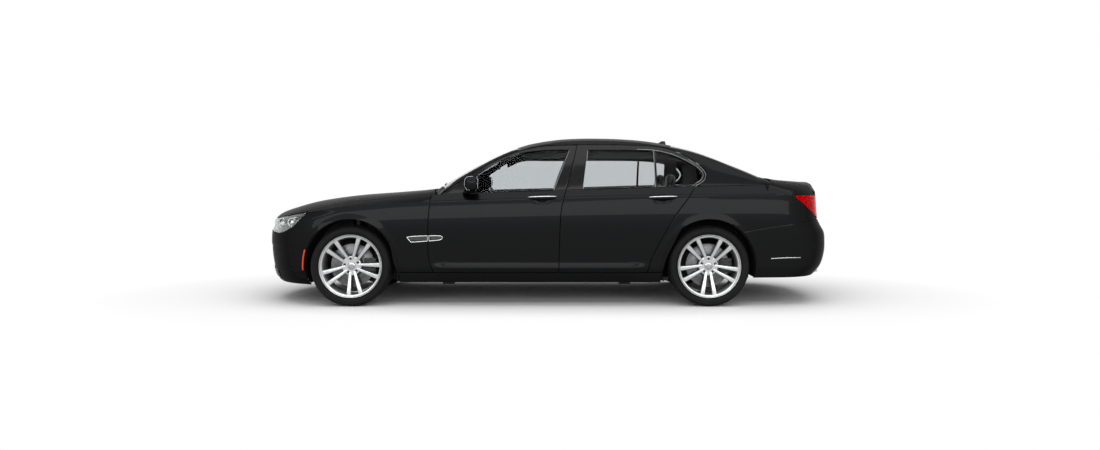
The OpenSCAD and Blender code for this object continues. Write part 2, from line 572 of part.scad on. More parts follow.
glass_inset = 9;
module pane(bottom0, bottom1, top, rear) {
    n = len(top) - 1;
    low = [for (k = [0 : n]) let (x = lerp(bottom0, bottom1, k / n)) [x, belt_z(x) + 0.4
        - glass_inset * door_taper / door_t]];
    g = shifted(cabin_grid(coons(low, top, straight(low[0], top[0], 4),
        len(rear) > 0 ? rear : straight(low[n], top[n], 4))), [0, glass_inset, 0]);
    panel(g, shifted(g, [0, glass_t, 0]));
}
module glass_front(right) color([0.5, 0.55, 0.55, 0.5]) on_side(right)
    pane(sx(-599), sx(68), side_points([[-597, 1109], [-540, 1158], [-420, 1236], [-240, 1311],
        [-46, 1341], [116, 1347], [205, 1346]]), []);
module glass_rear(right) color([0.5, 0.55, 0.55, 0.5]) on_side(right)
    pane(sx(322), sx(1233), side_points([[371, 1346], [500, 1346], [700, 1345], [949, 1336], [1099, 1300],
        [1213, 1246], [1297, 1190],
        [1341, 1140]]), side_points([[1233, 1024], [1257, 1042], [1326, 1088], [1335, 1112], [1341, 1140]]));
module glass_front_left() glass_front(false);
module glass_front_right() glass_front(true);
module glass_rear_left() glass_rear(false);
module glass_rear_right() glass_rear(true);

module mirror_housing(right) color(paint) on_side(right) {
    hull() {
        for (q = [[-700, -1000, 1000, 20], [-700, -900, 1005, 20], [-590, -1030, 1000, 24],
            [-590, -900, 1000, 24],
            [-680, -1030, 1090, 24], [-680, -905, 1085, 22], [-592, -1030, 1098, 24], [-592, -900, 1090, 24]])
            translate([sx(q[0]), sy(q[1]), sz(q[2])]) sphere(r = q[3], $fn = 16);
    }
    hull() {
        translate([sx(-690), sy(-930), sz(985)]) sphere(r = 16, $fn = 12);
        translate([sx(-640), sy(-930), sz(985)]) sphere(r = 16, $fn = 12);
        translate([sx(-720), sy(-890.2), sz(976.6)]) sphere(r = 12, $fn = 12);
        translate([sx(-670), sy(-890.2), sz(976.6)]) sphere(r = 12, $fn = 12);
    }
}
module mirror_left() mirror_housing(false);
module mirror_right() mirror_housing(true);

// Bonnet, boot lid and the strip below the windscreen
bonnet_hinge = [sx(-930), sz(958)];
lid_hinge = [sx(1975), sz(1075)];
bonnet_arm_y = 660;
lid_arm_y = min(570, boot_half - 60);
function bonnet_at(u, v) =
    let (xe = lerp(sx(-2420), sx(-955), v), y = u * (bonnet_edge_y(xe)), b = u * u)
    [lerp(lerp(sx(-2500), sx(-2420), b ^ 0.8), lerp(sx(-1035), sx(-955), b), v), y];
module bonnet() color(paint) {
    g = [for (row = plate_grid(10, 10)) [for (q = row) bonnet_pt(bonnet_at(q[0], q[1]))]];
    panel(g, shrunk(g, [0, 0, -22], 20));
    both_sides() translate([bonnet_hinge[0], -bonnet_arm_y, bonnet_hinge[1]]) difference() {
        union() {
            rotate([90, 0, 0]) cylinder(h = 12, r = 13, center = true, $fn = 48);
            translate([-130, -6, -13]) cube([130, 12, 22]);
        }
        rotate([90, 0, 0]) cylinder(h = 14, r = pin_r + 0.05, center = true, $fn = 48);
    }
}
module bonnet_bracket() {
    x0 = bulkhead_x + bulkhead_t + seat_gap;
    translate([bonnet_hinge[0], -bonnet_arm_y, bonnet_hinge[1]]) rotate([90, 0, 0])
        cylinder(h = 40, r = pin_r, center = true, $fn = 48);
    translate([x0, -bonnet_arm_y - 20, bonnet_hinge[1] - 90]) cube([bonnet_hinge[0] + 14 - x0, 10, 62]);
    translate([bonnet_hinge[0] - 14, -bonnet_arm_y - 20, bonnet_hinge[1] - 30]) cube([28, 10, 42]);
}
module cowl() color([0.08, 0.08, 0.08]) {
    g = [for (j = [0 : 2]) [for (i = [0 : 10]) let (u = (i / 5 - 1) * 0.74, b = bonnet_at(u, 1),
        s = screen_at(u, 0),
        p = bonnet_pt(b) + [14, 0, -18], q = cabin_top_pt(s) + [-1, 0, -1]) lerp(p, q, j / 2)]];
    panel(g, shifted(g, [0, 0, -40]));
}
function lid_edge(u) = let (y = u * sy(600), x = tail_at_y(y, sz(1000))[0] - 10) boot_pt([x, y]);
module boot_lid() color(paint) {
    columns = [for (i = [0 : 10]) i / 5 - 1];
    top = [for (x = [0, 0.25, 0.5, 0.75, 0.94]) [for (u = columns)
        boot_pt([lerp(lid_front_x - 15 * u * u, lid_edge(u)[0], x), u * lerp(lid_half, sy(600), x)])]];
    back = [for (k = [0 : 5]) [for (u = columns)
        tail_at_y(u * lerp(sy(600), sy(560), k / 5), lerp(lid_edge(u)[2] - 10, sz(744), k / 5))]];
    g = concat(top, back);
    panel(g, [for (j = [0 : len(g) - 1]) [for (q = g[j])
        [q[0], q[1] * 0.965, q[2]] + (j < 5 ? [0, 0, -24] : j == 5 ? [-24, 0, -20] : [-26, 0, 0])
        + (j == 0 ? [20, 0, 0] : j == len(g) - 1 ? [0, 0, 14] : [0, 0, 0])]]);
    both_sides() translate([lid_hinge[0], -lid_arm_y, lid_hinge[1]]) difference() {
        union() {
            rotate([90, 0, 0]) cylinder(h = 12, r = 12, center = true, $fn = 48);
            rotate([0, 8, 0]) translate([0, -6, -13]) cube([92, 12, 18]);
        }
        rotate([90, 0, 0]) cylinder(h = 14, r = pin_r + 0.05, center = true, $fn = 48);
    }
}
module boot_lid_bracket() {
    wall_y = boot_half - boot_wall_t - seat_gap;
    foot_z = sz(870);
    translate([lid_hinge[0], -lid_arm_y, lid_hinge[1]]) rotate([90, 0, 0])
        cylinder(h = 44, r = pin_r, center = true, $fn = 48);
    translate([lid_hinge[0], -lid_arm_y - 16, lid_hinge[1]]) rotate([90, 0, 0])
        cylinder(h = 10, r = 11, center = true, $fn = 48);
    translate([lid_hinge[0] - 34, -lid_arm_y - 21, foot_z + 10]) cube([26, 10, lid_hinge[1] - foot_z - 10]);
    translate([lid_hinge[0] - 12, -lid_arm_y - 21, lid_hinge[1] - 40]) cube([12, 10, 40]);
    translate([lid_hinge[0] - 34, -wall_y, foot_z]) cube([60, wall_y - lid_arm_y - 10, 20]);
}

// Front end
bumper_bottom_z = sz(172);
function front_arch_pt(z) = [front_axle_x - sqrt(arch_r ^ 2 - (z - tyre_r) ^ 2), z];
bumper_top = [for (q = [[0, 512], [8, 512], [16, 512], [22, 512], [25, 640], [33, 632], [42, 622],
    [50, 620], [58, 640]])
    [q[0], sz(q[1])]];
module front_bumper() color(paint) {
    top = concat(bumper_top, [for (q = wing_joint) nose_angle(q - [0, seam])]);
    n = len(top) - 1;
    end = nose_angle(front_arch_pt(bumper_bottom_z));
    low = [for (k = [0 : n]) [end[0] * k / n, bumper_bottom_z]];
    rim = [for (j = [0 : 6]) nose_angle(front_arch_pt(lerp(bumper_bottom_z, top[n][1], j / 6)))];
    half = coons(low, top, straight(low[0], top[0], 6), rim);
    panel(nose_grid(whole(half)), nose_grid(whole(half), skin_t));
}
grille_half_a = 21.9;
module nose_strip(a0, a1, za, zb, d0, d1) {
    low = [for (k = [0 : 6]) [lerp(a0, a1, k / 6), za]];
    g = ruled(low, [for (q = low) [q[0], zb]], 1);
    panel(nose_grid(g, d0), nose_grid(g, d1));
}
module grille() color([0.6, 0.6, 0.62]) {
    a = grille_half_a;
    z0 = sz(512) + seam;
    z1 = sz(690);
    nose_strip(-a, a, z0, z0 + 16, 0, 50);
    nose_strip(-a, a, z1 - 16, z1, 0, 50);
    for (s = [-1, 1]) nose_strip(s * a, s * (a - 0.9), z0 + 8, z1 - 8, 0, 50);
    for (k = [1 : 5]) nose_strip(-a + 0.5, a - 0.5, lerp(z0, z1, k / 6) - 4, lerp(z0, z1, k / 6) + 4, 14, 44);
}
module headlamp() {
    lower = concat([for (k = [4 : 8]) bumper_top[k] + [k == 4 ? 0.2 : 0, seam]],
        [for (k = [0 : 3]) nose_angle(lamp_rear[k] + (k < 3 ? [-seam, seam] : [-22, -9]))]);
    n = len(lower) - 1;
    upper = [for (k = [0 : n]) let (x = lerp(sx(-2462), lamp_tip_x - 14, k / n))
        nose_angle([x, crease_z(x) - 4])];
    g = ruled(lower, upper, 4);
    inner = [for (j = [0 : 4]) [for (q = nose_grid(g, 34)[j]) q - [0, 0, 34 * j / 4]]];
    panel(nose_grid(g), inner);
}
module headlamps() color([0.75, 0.78, 0.8]) both_sides() headlamp();

// Rear end
function rear_arch_pt(z) = [rear_axle_x + sqrt(arch_r ^ 2 - (z - tyre_r) ^ 2), z];
rear_bumper_bottom_z = sz(240);
module rear_bumper() color(paint) {
    side = [for (k = [6 : -1 : 0]) tail_angle(tail_joint[k] - [0, seam + k / 6])];
    top = concat([for (k = [0 : 5]) [side[0][0] * k / 6, sz(lerp(714, 738, (k / 6) ^ 2))]], side);
    n = len(top) - 1;
    end = tail_angle(rear_arch_pt(rear_bumper_bottom_z));
    low = [for (k = [0 : n]) [end[0] * k / n, rear_bumper_bottom_z]];
    rim = [for (j = [0 : 6]) tail_angle(rear_arch_pt(lerp(rear_bumper_bottom_z, top[n][1], j / 6)))];
    half = coons(low, top, straight(low[0], top[0], 6), rim);
    panel(tail_grid(whole(half)), tail_grid(whole(half), skin_t));
}
module tail_lamp() {
    depth = 34;
    a_low = tail_angle_at_y(lid_side_y(sz(745)) + gap, sz(745));
    a_high = tail_angle_at_y(lid_side_y(sz(925)) + gap, sz(925));
    a_end = tail_angle(quarter_end)[0];
    lower = concat([for (k = [0 : 3]) [lerp(a_low, a_end, k / 4), quarter_end[1] + 6]],
        [for (k = [0 : 5]) tail_angle(tail_lamp_edge[k] + [1, 1] * (seam + 0.4))]);
    n = len(lower) - 1;
    z1 = crease_z(tail_lamp_tip_x) - 29;
    upper = [for (k = [0 : n]) [lerp(a_high, last(lower)[0] - 1, k / n), z1 - 6 * (1 - k / n)]];
    g = ruled(lower, upper, 3);
    inner = [for (j = [0 : 3]) [for (k = [0 : n]) let (b = 90 * min(1, k / 4))
        tail_pt(g[j][k]) + depth * [-cos(b), sin(b), 0] + [12 * sin(b), 0, 12] * (1 - j / 3)
            - [0, 0, 26] * j / 3]];
    panel(tail_grid(g), inner);
}
module tail_lamps() color([0.5, 0.05, 0.05]) both_sides() tail_lamp();

// Wheels
rim_face = 34;
module tyre() rotate([90, 0, 0]) rotate_extrude($fn = fine) {
    w = tyre_w / 2;
    polygon([[rim_r - 14, -w + 22], [rim_r + 1, -w + 22], [rim_r + 6, -w + 10], [rim_r + 34, -w],
        [tyre_r - 14, -w + 14], [tyre_r, -w + 34],
        [tyre_r, w - 34], [tyre_r - 14, w - 14], [rim_r + 34, w], [rim_r + 6, w - 10],
            [rim_r + 1, w - 22], [rim_r - 14, w - 22]]);
}
module spoke_plan() {
    for (k = [0 : spoke_pairs - 1]) rotate(k * 360 / spoke_pairs) for (s = [-1, 1])
        polygon([[s * 8, 50], [s * 34, 50], [s * 66, rim_r - 24], [s * 34, rim_r - 24]]);
}
module rim() color([0.75, 0.75, 0.77]) rotate([90, 0, 0]) difference() {
    w = tyre_w / 2 - 6;
    union() {
        rotate_extrude($fn = fine) polygon([[rim_r - 14.3, -w + 15.7], [rim_r, -w + 15.7],
            [rim_r, -w + 2], [rim_r - 20, -w + 2],
            [rim_r - 40, -30], [rim_r - 28, w - 20], [rim_r - 22, w - 2], [rim_r, w - 2],
                [rim_r, w - 15.7], [rim_r - 14.3, w - 15.7]]);
        intersection() {
            translate([0, 0, -w]) linear_extrude(height = 2 * w) spoke_plan();
            rotate_extrude($fn = fine) polygon([[0, 22], [80, 22], [rim_r - 20, 60], [rim_r - 20, 100],
                [150, 88], [80, 68], [0, 68]]);
        }
        translate([0, 0, 22]) cylinder(h = 40, r = 84, $fn = fine);
    }
    translate([0, 0, 20]) cylinder(h = 60, r = 36, $fn = fine);
    for (k = [0 : spoke_pairs - 1]) rotate(90 + (k + 0.5) * 360 / spoke_pairs)
        translate([bolt_circle_r, 0, 0]) cylinder(h = 80, r = 7.5, $fn = 24);
}
module disc() color([0.45, 0.45, 0.46]) rotate([90, 0, 0]) {
    difference() {
        union() {
            translate([0, 0, -12]) cylinder(h = 24, r = disc_r, $fn = fine);
            translate([0, 0, -12]) cylinder(h = 34, r = 88, $fn = fine);
            translate([0, 0, 20]) cylinder(h = 26, r = 35.5, $fn = fine);
            translate([0, 0, -40]) cylinder(h = 40, r = 48, $fn = fine);
        }
        translate([0, 0, -41]) cylinder(h = 62, r = spindle_r + 0.05, $fn = fine);
    }
}
// How far the wheels have rolled, front and rear
wheel_turn = [28, 37];
module rolled(front) rotate([0, wheel_turn[front ? 0 : 1], 0]) children();
module wheel_place(front, right) translate([front ? front_axle_x : rear_axle_x,
    (right ? 1 : -1) * (front ? front_track : rear_track) / 2, tyre_r])
    mirror([0, right ? 1 : 0, 0]) children();
module tyre_front_left() color([0.06, 0.06, 0.06]) wheel_place(true, false) tyre();
module tyre_front_right() color([0.06, 0.06, 0.06]) wheel_place(true, true) tyre();
module tyre_rear_left() color([0.06, 0.06, 0.06]) wheel_place(false, false) tyre();
module tyre_rear_right() color([0.06, 0.06, 0.06]) wheel_place(false, true) tyre();
module rim_front_left() wheel_place(true, false) rolled(true) rim();
module rim_front_right() wheel_place(true, true) rolled(true) rim();
module rim_rear_left() wheel_place(false, false) rolled(false) rim();
module rim_rear_right() wheel_place(false, true) rolled(false) rim();
module disc_front_left() wheel_place(true, false) disc();
module disc_front_right() wheel_place(true, true) disc();
module disc_rear_left() wheel_place(false, false) disc();
module disc_rear_right() wheel_place(false, true) disc();

// Hub carrier with its spindle and brake caliper, placed at the wheel middle
module carrier() {
    rotate([90, 0, 0]) {
        translate([0, 0, -40.5]) cylinder(h = 60, r = spindle_r, $fn = fine);
        translate([0, 0, -100]) cylinder(h = 59.5, r = 52, $fn = fine);
    }
    translate([-24, 44, -150]) cube([48, 40, 300]);
    for (z = [-150, 132]) translate([0, 60, z]) cylinder(h = 18, r = 24, $fn = 48);
    translate([105, -24, -60]) difference() {
        cube([100, 76, 120]);
        translate([-1, 8, -1]) cube([disc_r + 4 - 104, 32, 122]);
    }
    translate([20, 48, -40]) cube([110, 24, 80]);
}
module knuckle(right) color([0.35, 0.35, 0.36]) wheel_place(true, right) carrier();
module knuckle_left() knuckle(false);
module knuckle_right() knuckle(true);
module rear_suspension() color([0.3, 0.3, 0.31]) {
    for (r = [false, true]) wheel_place(false, r) carrier();
    translate([rear_axle_x - 60, -rear_track / 2 + 80, tyre_r - 110]) cube([120, rear_track - 160, 60]);
    translate([rear_axle_x - 190, -420, tyre_r - 110]) cube([380, 840, 70]);
    translate([rear_axle_x - 130, -130, tyre_r - 60]) cube([260, 260, 130]);
    both_sides() translate([rear_axle_x, 100 - boot_half, tyre_r - 60])
        cylinder(h = boot_floor_z - tyre_r + 60 - seat_gap, r = 46, $fn = 48);
}
module front_suspension() color([0.3, 0.3, 0.31]) {
    y = front_track / 2 - 60;
    both_sides() {
        for (z = [-168.5, 150.5]) translate([front_axle_x, -y, tyre_r + z]) {
            cylinder(h = 18, r = 24, $fn = 48);
            translate([-24, 0, 0]) cube([48, y - rail_half - seat_gap, 18]);
        }
        translate([front_axle_x, -strut_y, tyre_r - 160])
            cylinder(h = apron_z - tyre_r + 160 - seat_gap, r = 42, $fn = 48);
    }
    translate([front_axle_x - 150, 70 - strut_y, tyre_r - 170]) cube([300, 2 * (strut_y - 70), 60]);
}

// Chassis: floor with its tunnel, bulkhead, rails with the inner wings, and the boot's tub
chassis = [0.16, 0.16, 0.17];
module floor_pan() color(chassis) {
    x0 = sx(-1240);
    translate([x0, -floor_half, floor_z]) cube([sx(1070) - x0, 2 * floor_half, floor_t]);
    translate([x0, -tunnel_half, floor_z]) cube([sx(410) - x0, 2 * tunnel_half, tunnel_h]);
}
module bulkhead() color(chassis) difference() {
    step_z = sz(300);
    foot_z = floor_top + seat_gap;
    notch_half = tunnel_half + seat_gap;
    union() {
        translate([bulkhead_x, -front_post_y, step_z]) cube([bulkhead_t, 2 * front_post_y, sz(910) - step_z]);
        translate([bulkhead_x, -floor_half, foot_z]) cube([bulkhead_t, 2 * floor_half, step_z - foot_z + 1]);
    }
    translate([bulkhead_x - 1, -notch_half, floor_z])
        cube([bulkhead_t + 2, 2 * notch_half, tunnel_h + seat_gap]);
}
module hinge_posts() color(chassis) both_sides() {
    x0 = bulkhead_x + bulkhead_t + seat_gap;
    hinge_arms(front_hinge_x, front_hinge_y, front_post_y);
    translate([x0, -front_post_y, sz(400)]) cube([front_hinge_x + 24 - x0, front_post_y - sy(700), sz(480)]);
}
module lid_brackets() color(chassis) both_sides() {
    bonnet_bracket();
    boot_lid_bracket();
}
module front_rails() color(chassis) both_sides() {
    x1 = bulkhead_x - seat_gap;
    wing_x = sx(-2010);
    rail_x = beam_x + beam_t + seat_gap;
    translate([rail_x, -rail_half, rail_z]) cube([x1 - rail_x, 80, rail_h]);
    translate([wing_x, -rail_half, rail_z + rail_h - 20])
        cube([x1 - wing_x, boot_wall_t, apron_z - rail_z - rail_h + 40]);
    translate([wing_x, -front_post_y, apron_z]) cube([x1 - wing_x, front_post_y - rail_half + 10,
        boot_wall_t]);
}
module bumper_beams() color(chassis) {
    half = boot_half - 100;
    translate([beam_x, -rail_half, 400]) cube([beam_t, 2 * rail_half, 110]);
    translate([boot_end_x + seat_gap, -half, boot_floor_z - 40]) cube([beam_t, 2 * half, 100]);
}
module boot_floor() color(chassis) {
    half = boot_half - boot_wall_t - seat_gap;
    foot_z = floor_top + seat_gap;
    translate([boot_x, -half, foot_z]) cube([floor_t, 2 * half, boot_floor_z + floor_t - foot_z]);
    translate([boot_x, -half, boot_floor_z]) cube([boot_end_x - boot_x, 2 * half, floor_t]);
}
module boot_walls() color(chassis) both_sides()
    translate([boot_x, -boot_half, boot_floor_z])
        cube([sx(2300) - boot_x, boot_wall_t, sz(900) - boot_floor_z]);
module engine() color([0.3, 0.3, 0.32]) {
    x0 = sx(-2200);
    translate([x0, -250, tyre_r - 110]) cube([800, 500, sz(655) - tyre_r + 110]);
    translate([x0 + 40, -300, sz(520)]) cube([720, 600, sz(210)]);
    translate([x0 + 60, -220, sz(720)]) cube([680, 440, sz(50)]);
}
module exhaust() color([0.5, 0.5, 0.5]) {
    for (s = [-1, 1]) translate([0, s * 480, boot_floor_z - 60 - seat_gap]) {
        translate([sx(1860), 0, 0]) rotate([0, 90, 0]) cylinder(h = sx(2300) - sx(1860), r = 60, $fn = fine);
        translate([sx(2299), 0, -20]) rotate([0, 90, 0]) difference() {
            cylinder(h = 80, r = 38, $fn = fine);
            translate([0, 0, 20]) cylinder(h = 61, r = 35, $fn = fine);
        }
    }
}

// Cabin
module across(p, w) rotate([90, 0, 0]) linear_extrude(height = w, center = true) polygon(p);
wheel_tilt = 66;
module steering_axis() translate([sx(-430), -380, sz(840)]) rotate([0, wheel_tilt, 0]) children();
column_r = 24;
module dashboard() color([0.1, 0.1, 0.1]) difference() {
    union() {
        across(side_points([[-1009.6, 620], [-700, 600], [-610, 700], [-600, 850], [-640, 890],
            [-800, 900], [-890, 870], [-1009.6, 850]]), 1380);
        steering_axis() translate([0, 0, -260]) cylinder(h = 200, r = 36, $fn = 48);
    }
    steering_axis() translate([0, 0, -210]) cylinder(h = 200, r = column_r + 0.05, $fn = fine);
}
module seat_back(x) across(side_points([[x - 20, 430], [x + 90, 420], [x + 150, 520], [x + 290, 1010],
    [x + 250, 1040], [x + 190, 1020], [x + 60, 600]]), 500);
module front_seats() color([0.1, 0.1, 0.1]) for (s = [-1, 1]) translate([0, s * 380, 0]) {
    across(side_points([[-470, 340], [-20, 320], [60, 430], [0, 500], [-300, 505], [-460, 490],
        [-500, 430]]), 520);
    seat_back(-30);
    across(side_points([[205, 1060], [280, 1070], [300, 1180], [260, 1200], [215, 1180]]), 260);
    across(side_points([[225, 1020], [245, 1020], [255, 1075], [235, 1075]]), 160);
    translate([sx(-420), -220, floor_top]) cube([400, 440, sz(345) - floor_top]);
}
module rear_seat() color([0.1, 0.1, 0.1]) {
    across(side_points([[440, 330], [900, 300], [980, 420], [900, 500], [600, 510], [450, 490],
        [420, 420]]), 1250);
    across(side_points([[880, 450], [1010, 495], [1150, 1000], [1100, 1030], [1060, 1010], [960, 640]]),
        1250);
    translate([sx(440), -600, floor_top]) cube([540, 1200, sz(345) - floor_top]);
}
module steering_wheel() color([0.1, 0.1, 0.1]) steering_axis() {
    rotate_extrude($fn = fine) translate([176, 0]) circle(r = 15, $fn = 24);
    translate([0, 0, -40]) cylinder(h = 50, r = 62, $fn = fine);
    translate([-20, -176, -10]) cube([40, 352, 16]);
    translate([0, 0, -205]) cylinder(h = 170, r = column_r, $fn = fine);
}

floor_pan();
bulkhead();
hinge_posts();
lid_brackets();
front_rails();
bumper_beams();
boot_floor();
boot_walls();
sills();
front_wings();
rear_quarters();
upper_sides();
roof_panel();
cowl();
windscreen();
rear_window();
front_bumper();
rear_bumper();
grille();
headlamps();
tail_lamps();
front_suspension();
rear_suspension();
engine();
exhaust();
dashboard();
front_seats();
rear_seat();
steering_wheel();
bonnet();
boot_lid();
door_front_left();
door_front_right();
door_rear_left();
door_rear_right();
glass_front_left();
glass_front_right();
glass_rear_left();
glass_rear_right();
mirror_left();
mirror_right();
knuckle_left();
knuckle_right();
tyre_front_left();
tyre_front_right();
tyre_rear_left();
tyre_rear_right();
rim_front_left();
rim_front_right();
rim_rear_left();
rim_rear_right();
disc_front_left();
disc_front_right();
disc_rear_left();
disc_rear_right();
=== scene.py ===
"""Luxury sedan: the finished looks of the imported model.

Shapes are worked out in millimetres, front at -X, the car's left side at -Y, and scaled to metres.
"""
import math

import bmesh
import bpy
import numpy as np
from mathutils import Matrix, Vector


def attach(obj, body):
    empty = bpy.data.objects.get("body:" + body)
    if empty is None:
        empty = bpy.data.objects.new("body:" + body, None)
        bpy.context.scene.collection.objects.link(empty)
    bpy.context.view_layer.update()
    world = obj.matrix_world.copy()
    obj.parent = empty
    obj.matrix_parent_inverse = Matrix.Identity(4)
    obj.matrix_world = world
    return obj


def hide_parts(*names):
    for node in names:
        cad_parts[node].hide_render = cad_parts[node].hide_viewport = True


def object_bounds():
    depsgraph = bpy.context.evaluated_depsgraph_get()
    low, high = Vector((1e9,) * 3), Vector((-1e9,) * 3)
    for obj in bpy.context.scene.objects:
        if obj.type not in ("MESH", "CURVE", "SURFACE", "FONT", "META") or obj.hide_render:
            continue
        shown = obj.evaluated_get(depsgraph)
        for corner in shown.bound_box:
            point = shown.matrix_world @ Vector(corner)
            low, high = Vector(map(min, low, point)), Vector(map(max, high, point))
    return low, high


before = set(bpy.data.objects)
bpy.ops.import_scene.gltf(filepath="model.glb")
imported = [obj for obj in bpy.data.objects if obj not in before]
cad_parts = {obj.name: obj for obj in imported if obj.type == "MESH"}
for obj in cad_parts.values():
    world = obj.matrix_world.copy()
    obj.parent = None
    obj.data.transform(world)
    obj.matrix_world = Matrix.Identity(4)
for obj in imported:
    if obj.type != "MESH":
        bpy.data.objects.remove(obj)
cad_box = [list(corner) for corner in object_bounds()]
MM = 0.001
SIDES = (("left", -1), ("right", 1))


# Curves and grids

def lerp(a, b, t):
    return a + (b - a) * t


def ramp(v):
    t = np.clip(v, 0, 1)
    return t * t * (3 - 2 * t)


class Line:
    """A smooth curve through points (station, value), level past its ends."""

    def __init__(self, *points):
        self.x, self.v = np.array(points, float).T
        i = np.arange(len(self.x))
        before, after = np.maximum(i - 1, 0), np.minimum(i + 1, len(i) - 1)
        self.slope = (self.v[after] - self.v[before]) / (self.x[after] - self.x[before])

    def __call__(self, x):
        x = np.clip(np.asarray(x, float), self.x[0], self.x[-1])
        i = np.clip(np.searchsorted(self.x, x, side="right") - 1, 0, len(self.x) - 2)
        h = self.x[i + 1] - self.x[i]
        t = (x - self.x[i]) / h
        return ((2 * t**3 - 3 * t**2 + 1) * self.v[i] + (t**3 - 2 * t**2 + t) * h * self.slope[i]
                + (3 * t**2 - 2 * t**3) * self.v[i + 1] + (t**3 - t**2) * h * self.slope[i + 1])


def pts(*parts):
    """Points from their coordinates, which are arrays or single numbers."""
    return np.stack(np.broadcast_arrays(*parts), -1)


def lengths(path):
    """Distance along a path at each of its points."""
    return np.concatenate([[0], np.cumsum(np.linalg.norm(np.diff(path, axis=0), axis=1))])


def smooth(points, n):
    """n + 1 points at equal steps along a smooth curve through points."""
    p = np.array(points, float)
    c = lengths(p)
    t = np.linspace(0, c[-1], n + 1)
    return np.stack([Line(*zip(c, p[:, d]))(t) for d in range(p.shape[1])], -1)


def straight(a, b, n):
    return lerp(np.array(a, float), np.array(b, float), np.linspace(0, 1, n + 1)[:, None])


def chain(*paths):
    """Paths that follow on, with the shared points once."""
    return np.concatenate([paths[0]] + [p[1:] for p in paths[1:]])


def coons(low, high, left, right):
    s = np.linspace(0, 1, len(low))[None, :, None]
    v = np.linspace(0, 1, len(left))[:, None, None]
    corners = lerp(lerp(low[0], low[-1], s), lerp(high[0], high[-1], s), v)
    return lerp(low[None], high[None], v) + lerp(left[:, None], right[:, None], s) - corners


def ruled(low, high, m):
    return lerp(np.asarray(low)[None], np.asarray(high)[None], np.linspace(0, 1, m + 1)[:, None, None])


def resample(grid, index, axis):
    low = np.clip(np.floor(index).astype(int), 0, grid.shape[axis] - 2)
    t = (index - low).reshape([-1 if a == axis else 1 for a in range(grid.ndim)])
    return lerp(np.take(grid, low, axis), np.take(grid, low + 1, axis), t)


def shrunk(grid, taper):
    """The same grid, smaller by a taper all round."""
    for axis in (0, 1):
        n = grid.shape[axis] - 1
        mid = np.take(grid, grid.shape[1 - axis] // 2, 1 - axis)
        share = taper / np.linalg.norm(mid[-1] - mid[0])
        grid = resample(grid, np.linspace(share, 1 - share, n + 1) * n, axis)
    return grid


def normals(grid):
    """Unit normals of a grid of points."""
    n = np.cross(np.gradient(grid, axis=1), np.gradient(grid, axis=0))
    return n / np.maximum(np.linalg.norm(n, axis=-1, keepdims=True), 1e-9)


# Body lines of the car: stations along it against heights or half widths

bonnet_line = Line((-2532, 700), (-2505, 756), (-2430, 796), (-2351, 822), (-2199, 866), (-2046, 899),
                   (-1740, 940), (-1435, 963), (-1129, 988), (-960, 1008))
cabin_line = Line((-1010, 1000), (-900, 1066), (-747, 1156), (-594, 1237), (-442, 1312), (-289, 1374),
                  (-136, 1420), (93, 1457), (300, 1470), (475, 1471), (704, 1464), (934, 1444), (1163, 1405),
                  (1316, 1368), (1468, 1317), (1621, 1257), (1774, 1197), (1927, 1131), (2000, 1098))
boot_line = Line((1900, 1118), (1985, 1100), (2080, 1086), (2233, 1074), (2385, 1063), (2450, 1062), (2490, 1040))
crease_z = Line((-2532, 700), (-2440, 733), (-2300, 764), (-2018, 811), (-1700, 858), (-1171, 892), (-144, 926),
                (909, 951), (1600, 958), (2115, 952), (2490, 930))
belt_z = Line((-1010, 954), (-442, 978), (79, 991), (700, 1011), (1292, 1027), (1960, 1040))
nose_x = Line((150, -2440), (185, -2480), (240, -2508), (330, -2526), (430, -2538), (540, -2539.5), (640, -2533),
              (700, -2520), (760, -2488), (820, -2400))
tail_x = Line((190, 2380), (244, 2440), (330, 2505), (440, 2536), (540, 2539.5), (620, 2530), (680, 2496),
              (740, 2470), (863, 2460), (1009, 2462), (1060, 2476))
waist = Line((-2540, 915), (-1672, 942), (-900, 946), (0, 951), (900, 951), (1398, 949), (2000, 915), (2540, 868))
sill_inset = Line((150, 150), (200, 96), (285, 44), (322, 24), (336, 20), (376, 38))
sill_inset_plain = Line((150, 150), (200, 96), (285, 60), (322, 46), (336, 43), (376, 38))
side_inset = Line((0, 38), (0.3, 16), (0.62, 0), (0.86, 8), (1, 24))
bonnet_power = Line((-2500, 2.2), (-1900, 3), (-1000, 5.2))
boot_power = Line((1900, 8), (2100, 5.5), (2480, 4.5))
BAND_Z = 376
SHOULDER_LEAN = 0.72
NOSE_ROUND, NOSE_POWER = 660, 2.35
TAIL_ROUND, TAIL_POWER = 520, 3.1
SIDE_PER_DEGREE = 8
GAP, SEAM, GLASS_T = 5, 0.8, 5
FRONT_AXLE, REAR_AXLE, AXLE_Z = -1671.5, 1398.5, 345
ARCH_R = 405
ROOF_CROWN, ROOF_HALF = 45, 640


def inset(x, z):
    c = crease_z(x)
    share = ramp((x + 1060) / 260) * (1 - ramp((x - 700) / 240))
    low = lerp(sill_inset_plain(z), sill_inset(z), share)
    side = side_inset((z - BAND_Z) / (c - BAND_Z))
    return np.where(z <= BAND_Z, low, np.where(z <= c, side, 24 + (z - c) * SHOULDER_LEAN))


def rounding(t, p):
    return (1 - (1 - np.clip(t, 0, 1)) ** p) ** (1 / p)


FLARE, FLARE_W = 7, 46


def arch_flare(x, z):
    """How far the wheel arches' lips stand proud of the side."""
    d = np.minimum(np.hypot(x - FRONT_AXLE, z - AXLE_Z), np.hypot(x - REAR_AXLE, z - AXLE_Z)) - ARCH_R
    return FLARE * (1 - np.clip(d / FLARE_W, 0, 1)) * np.clip((z - 230) / 120, 0, 1)


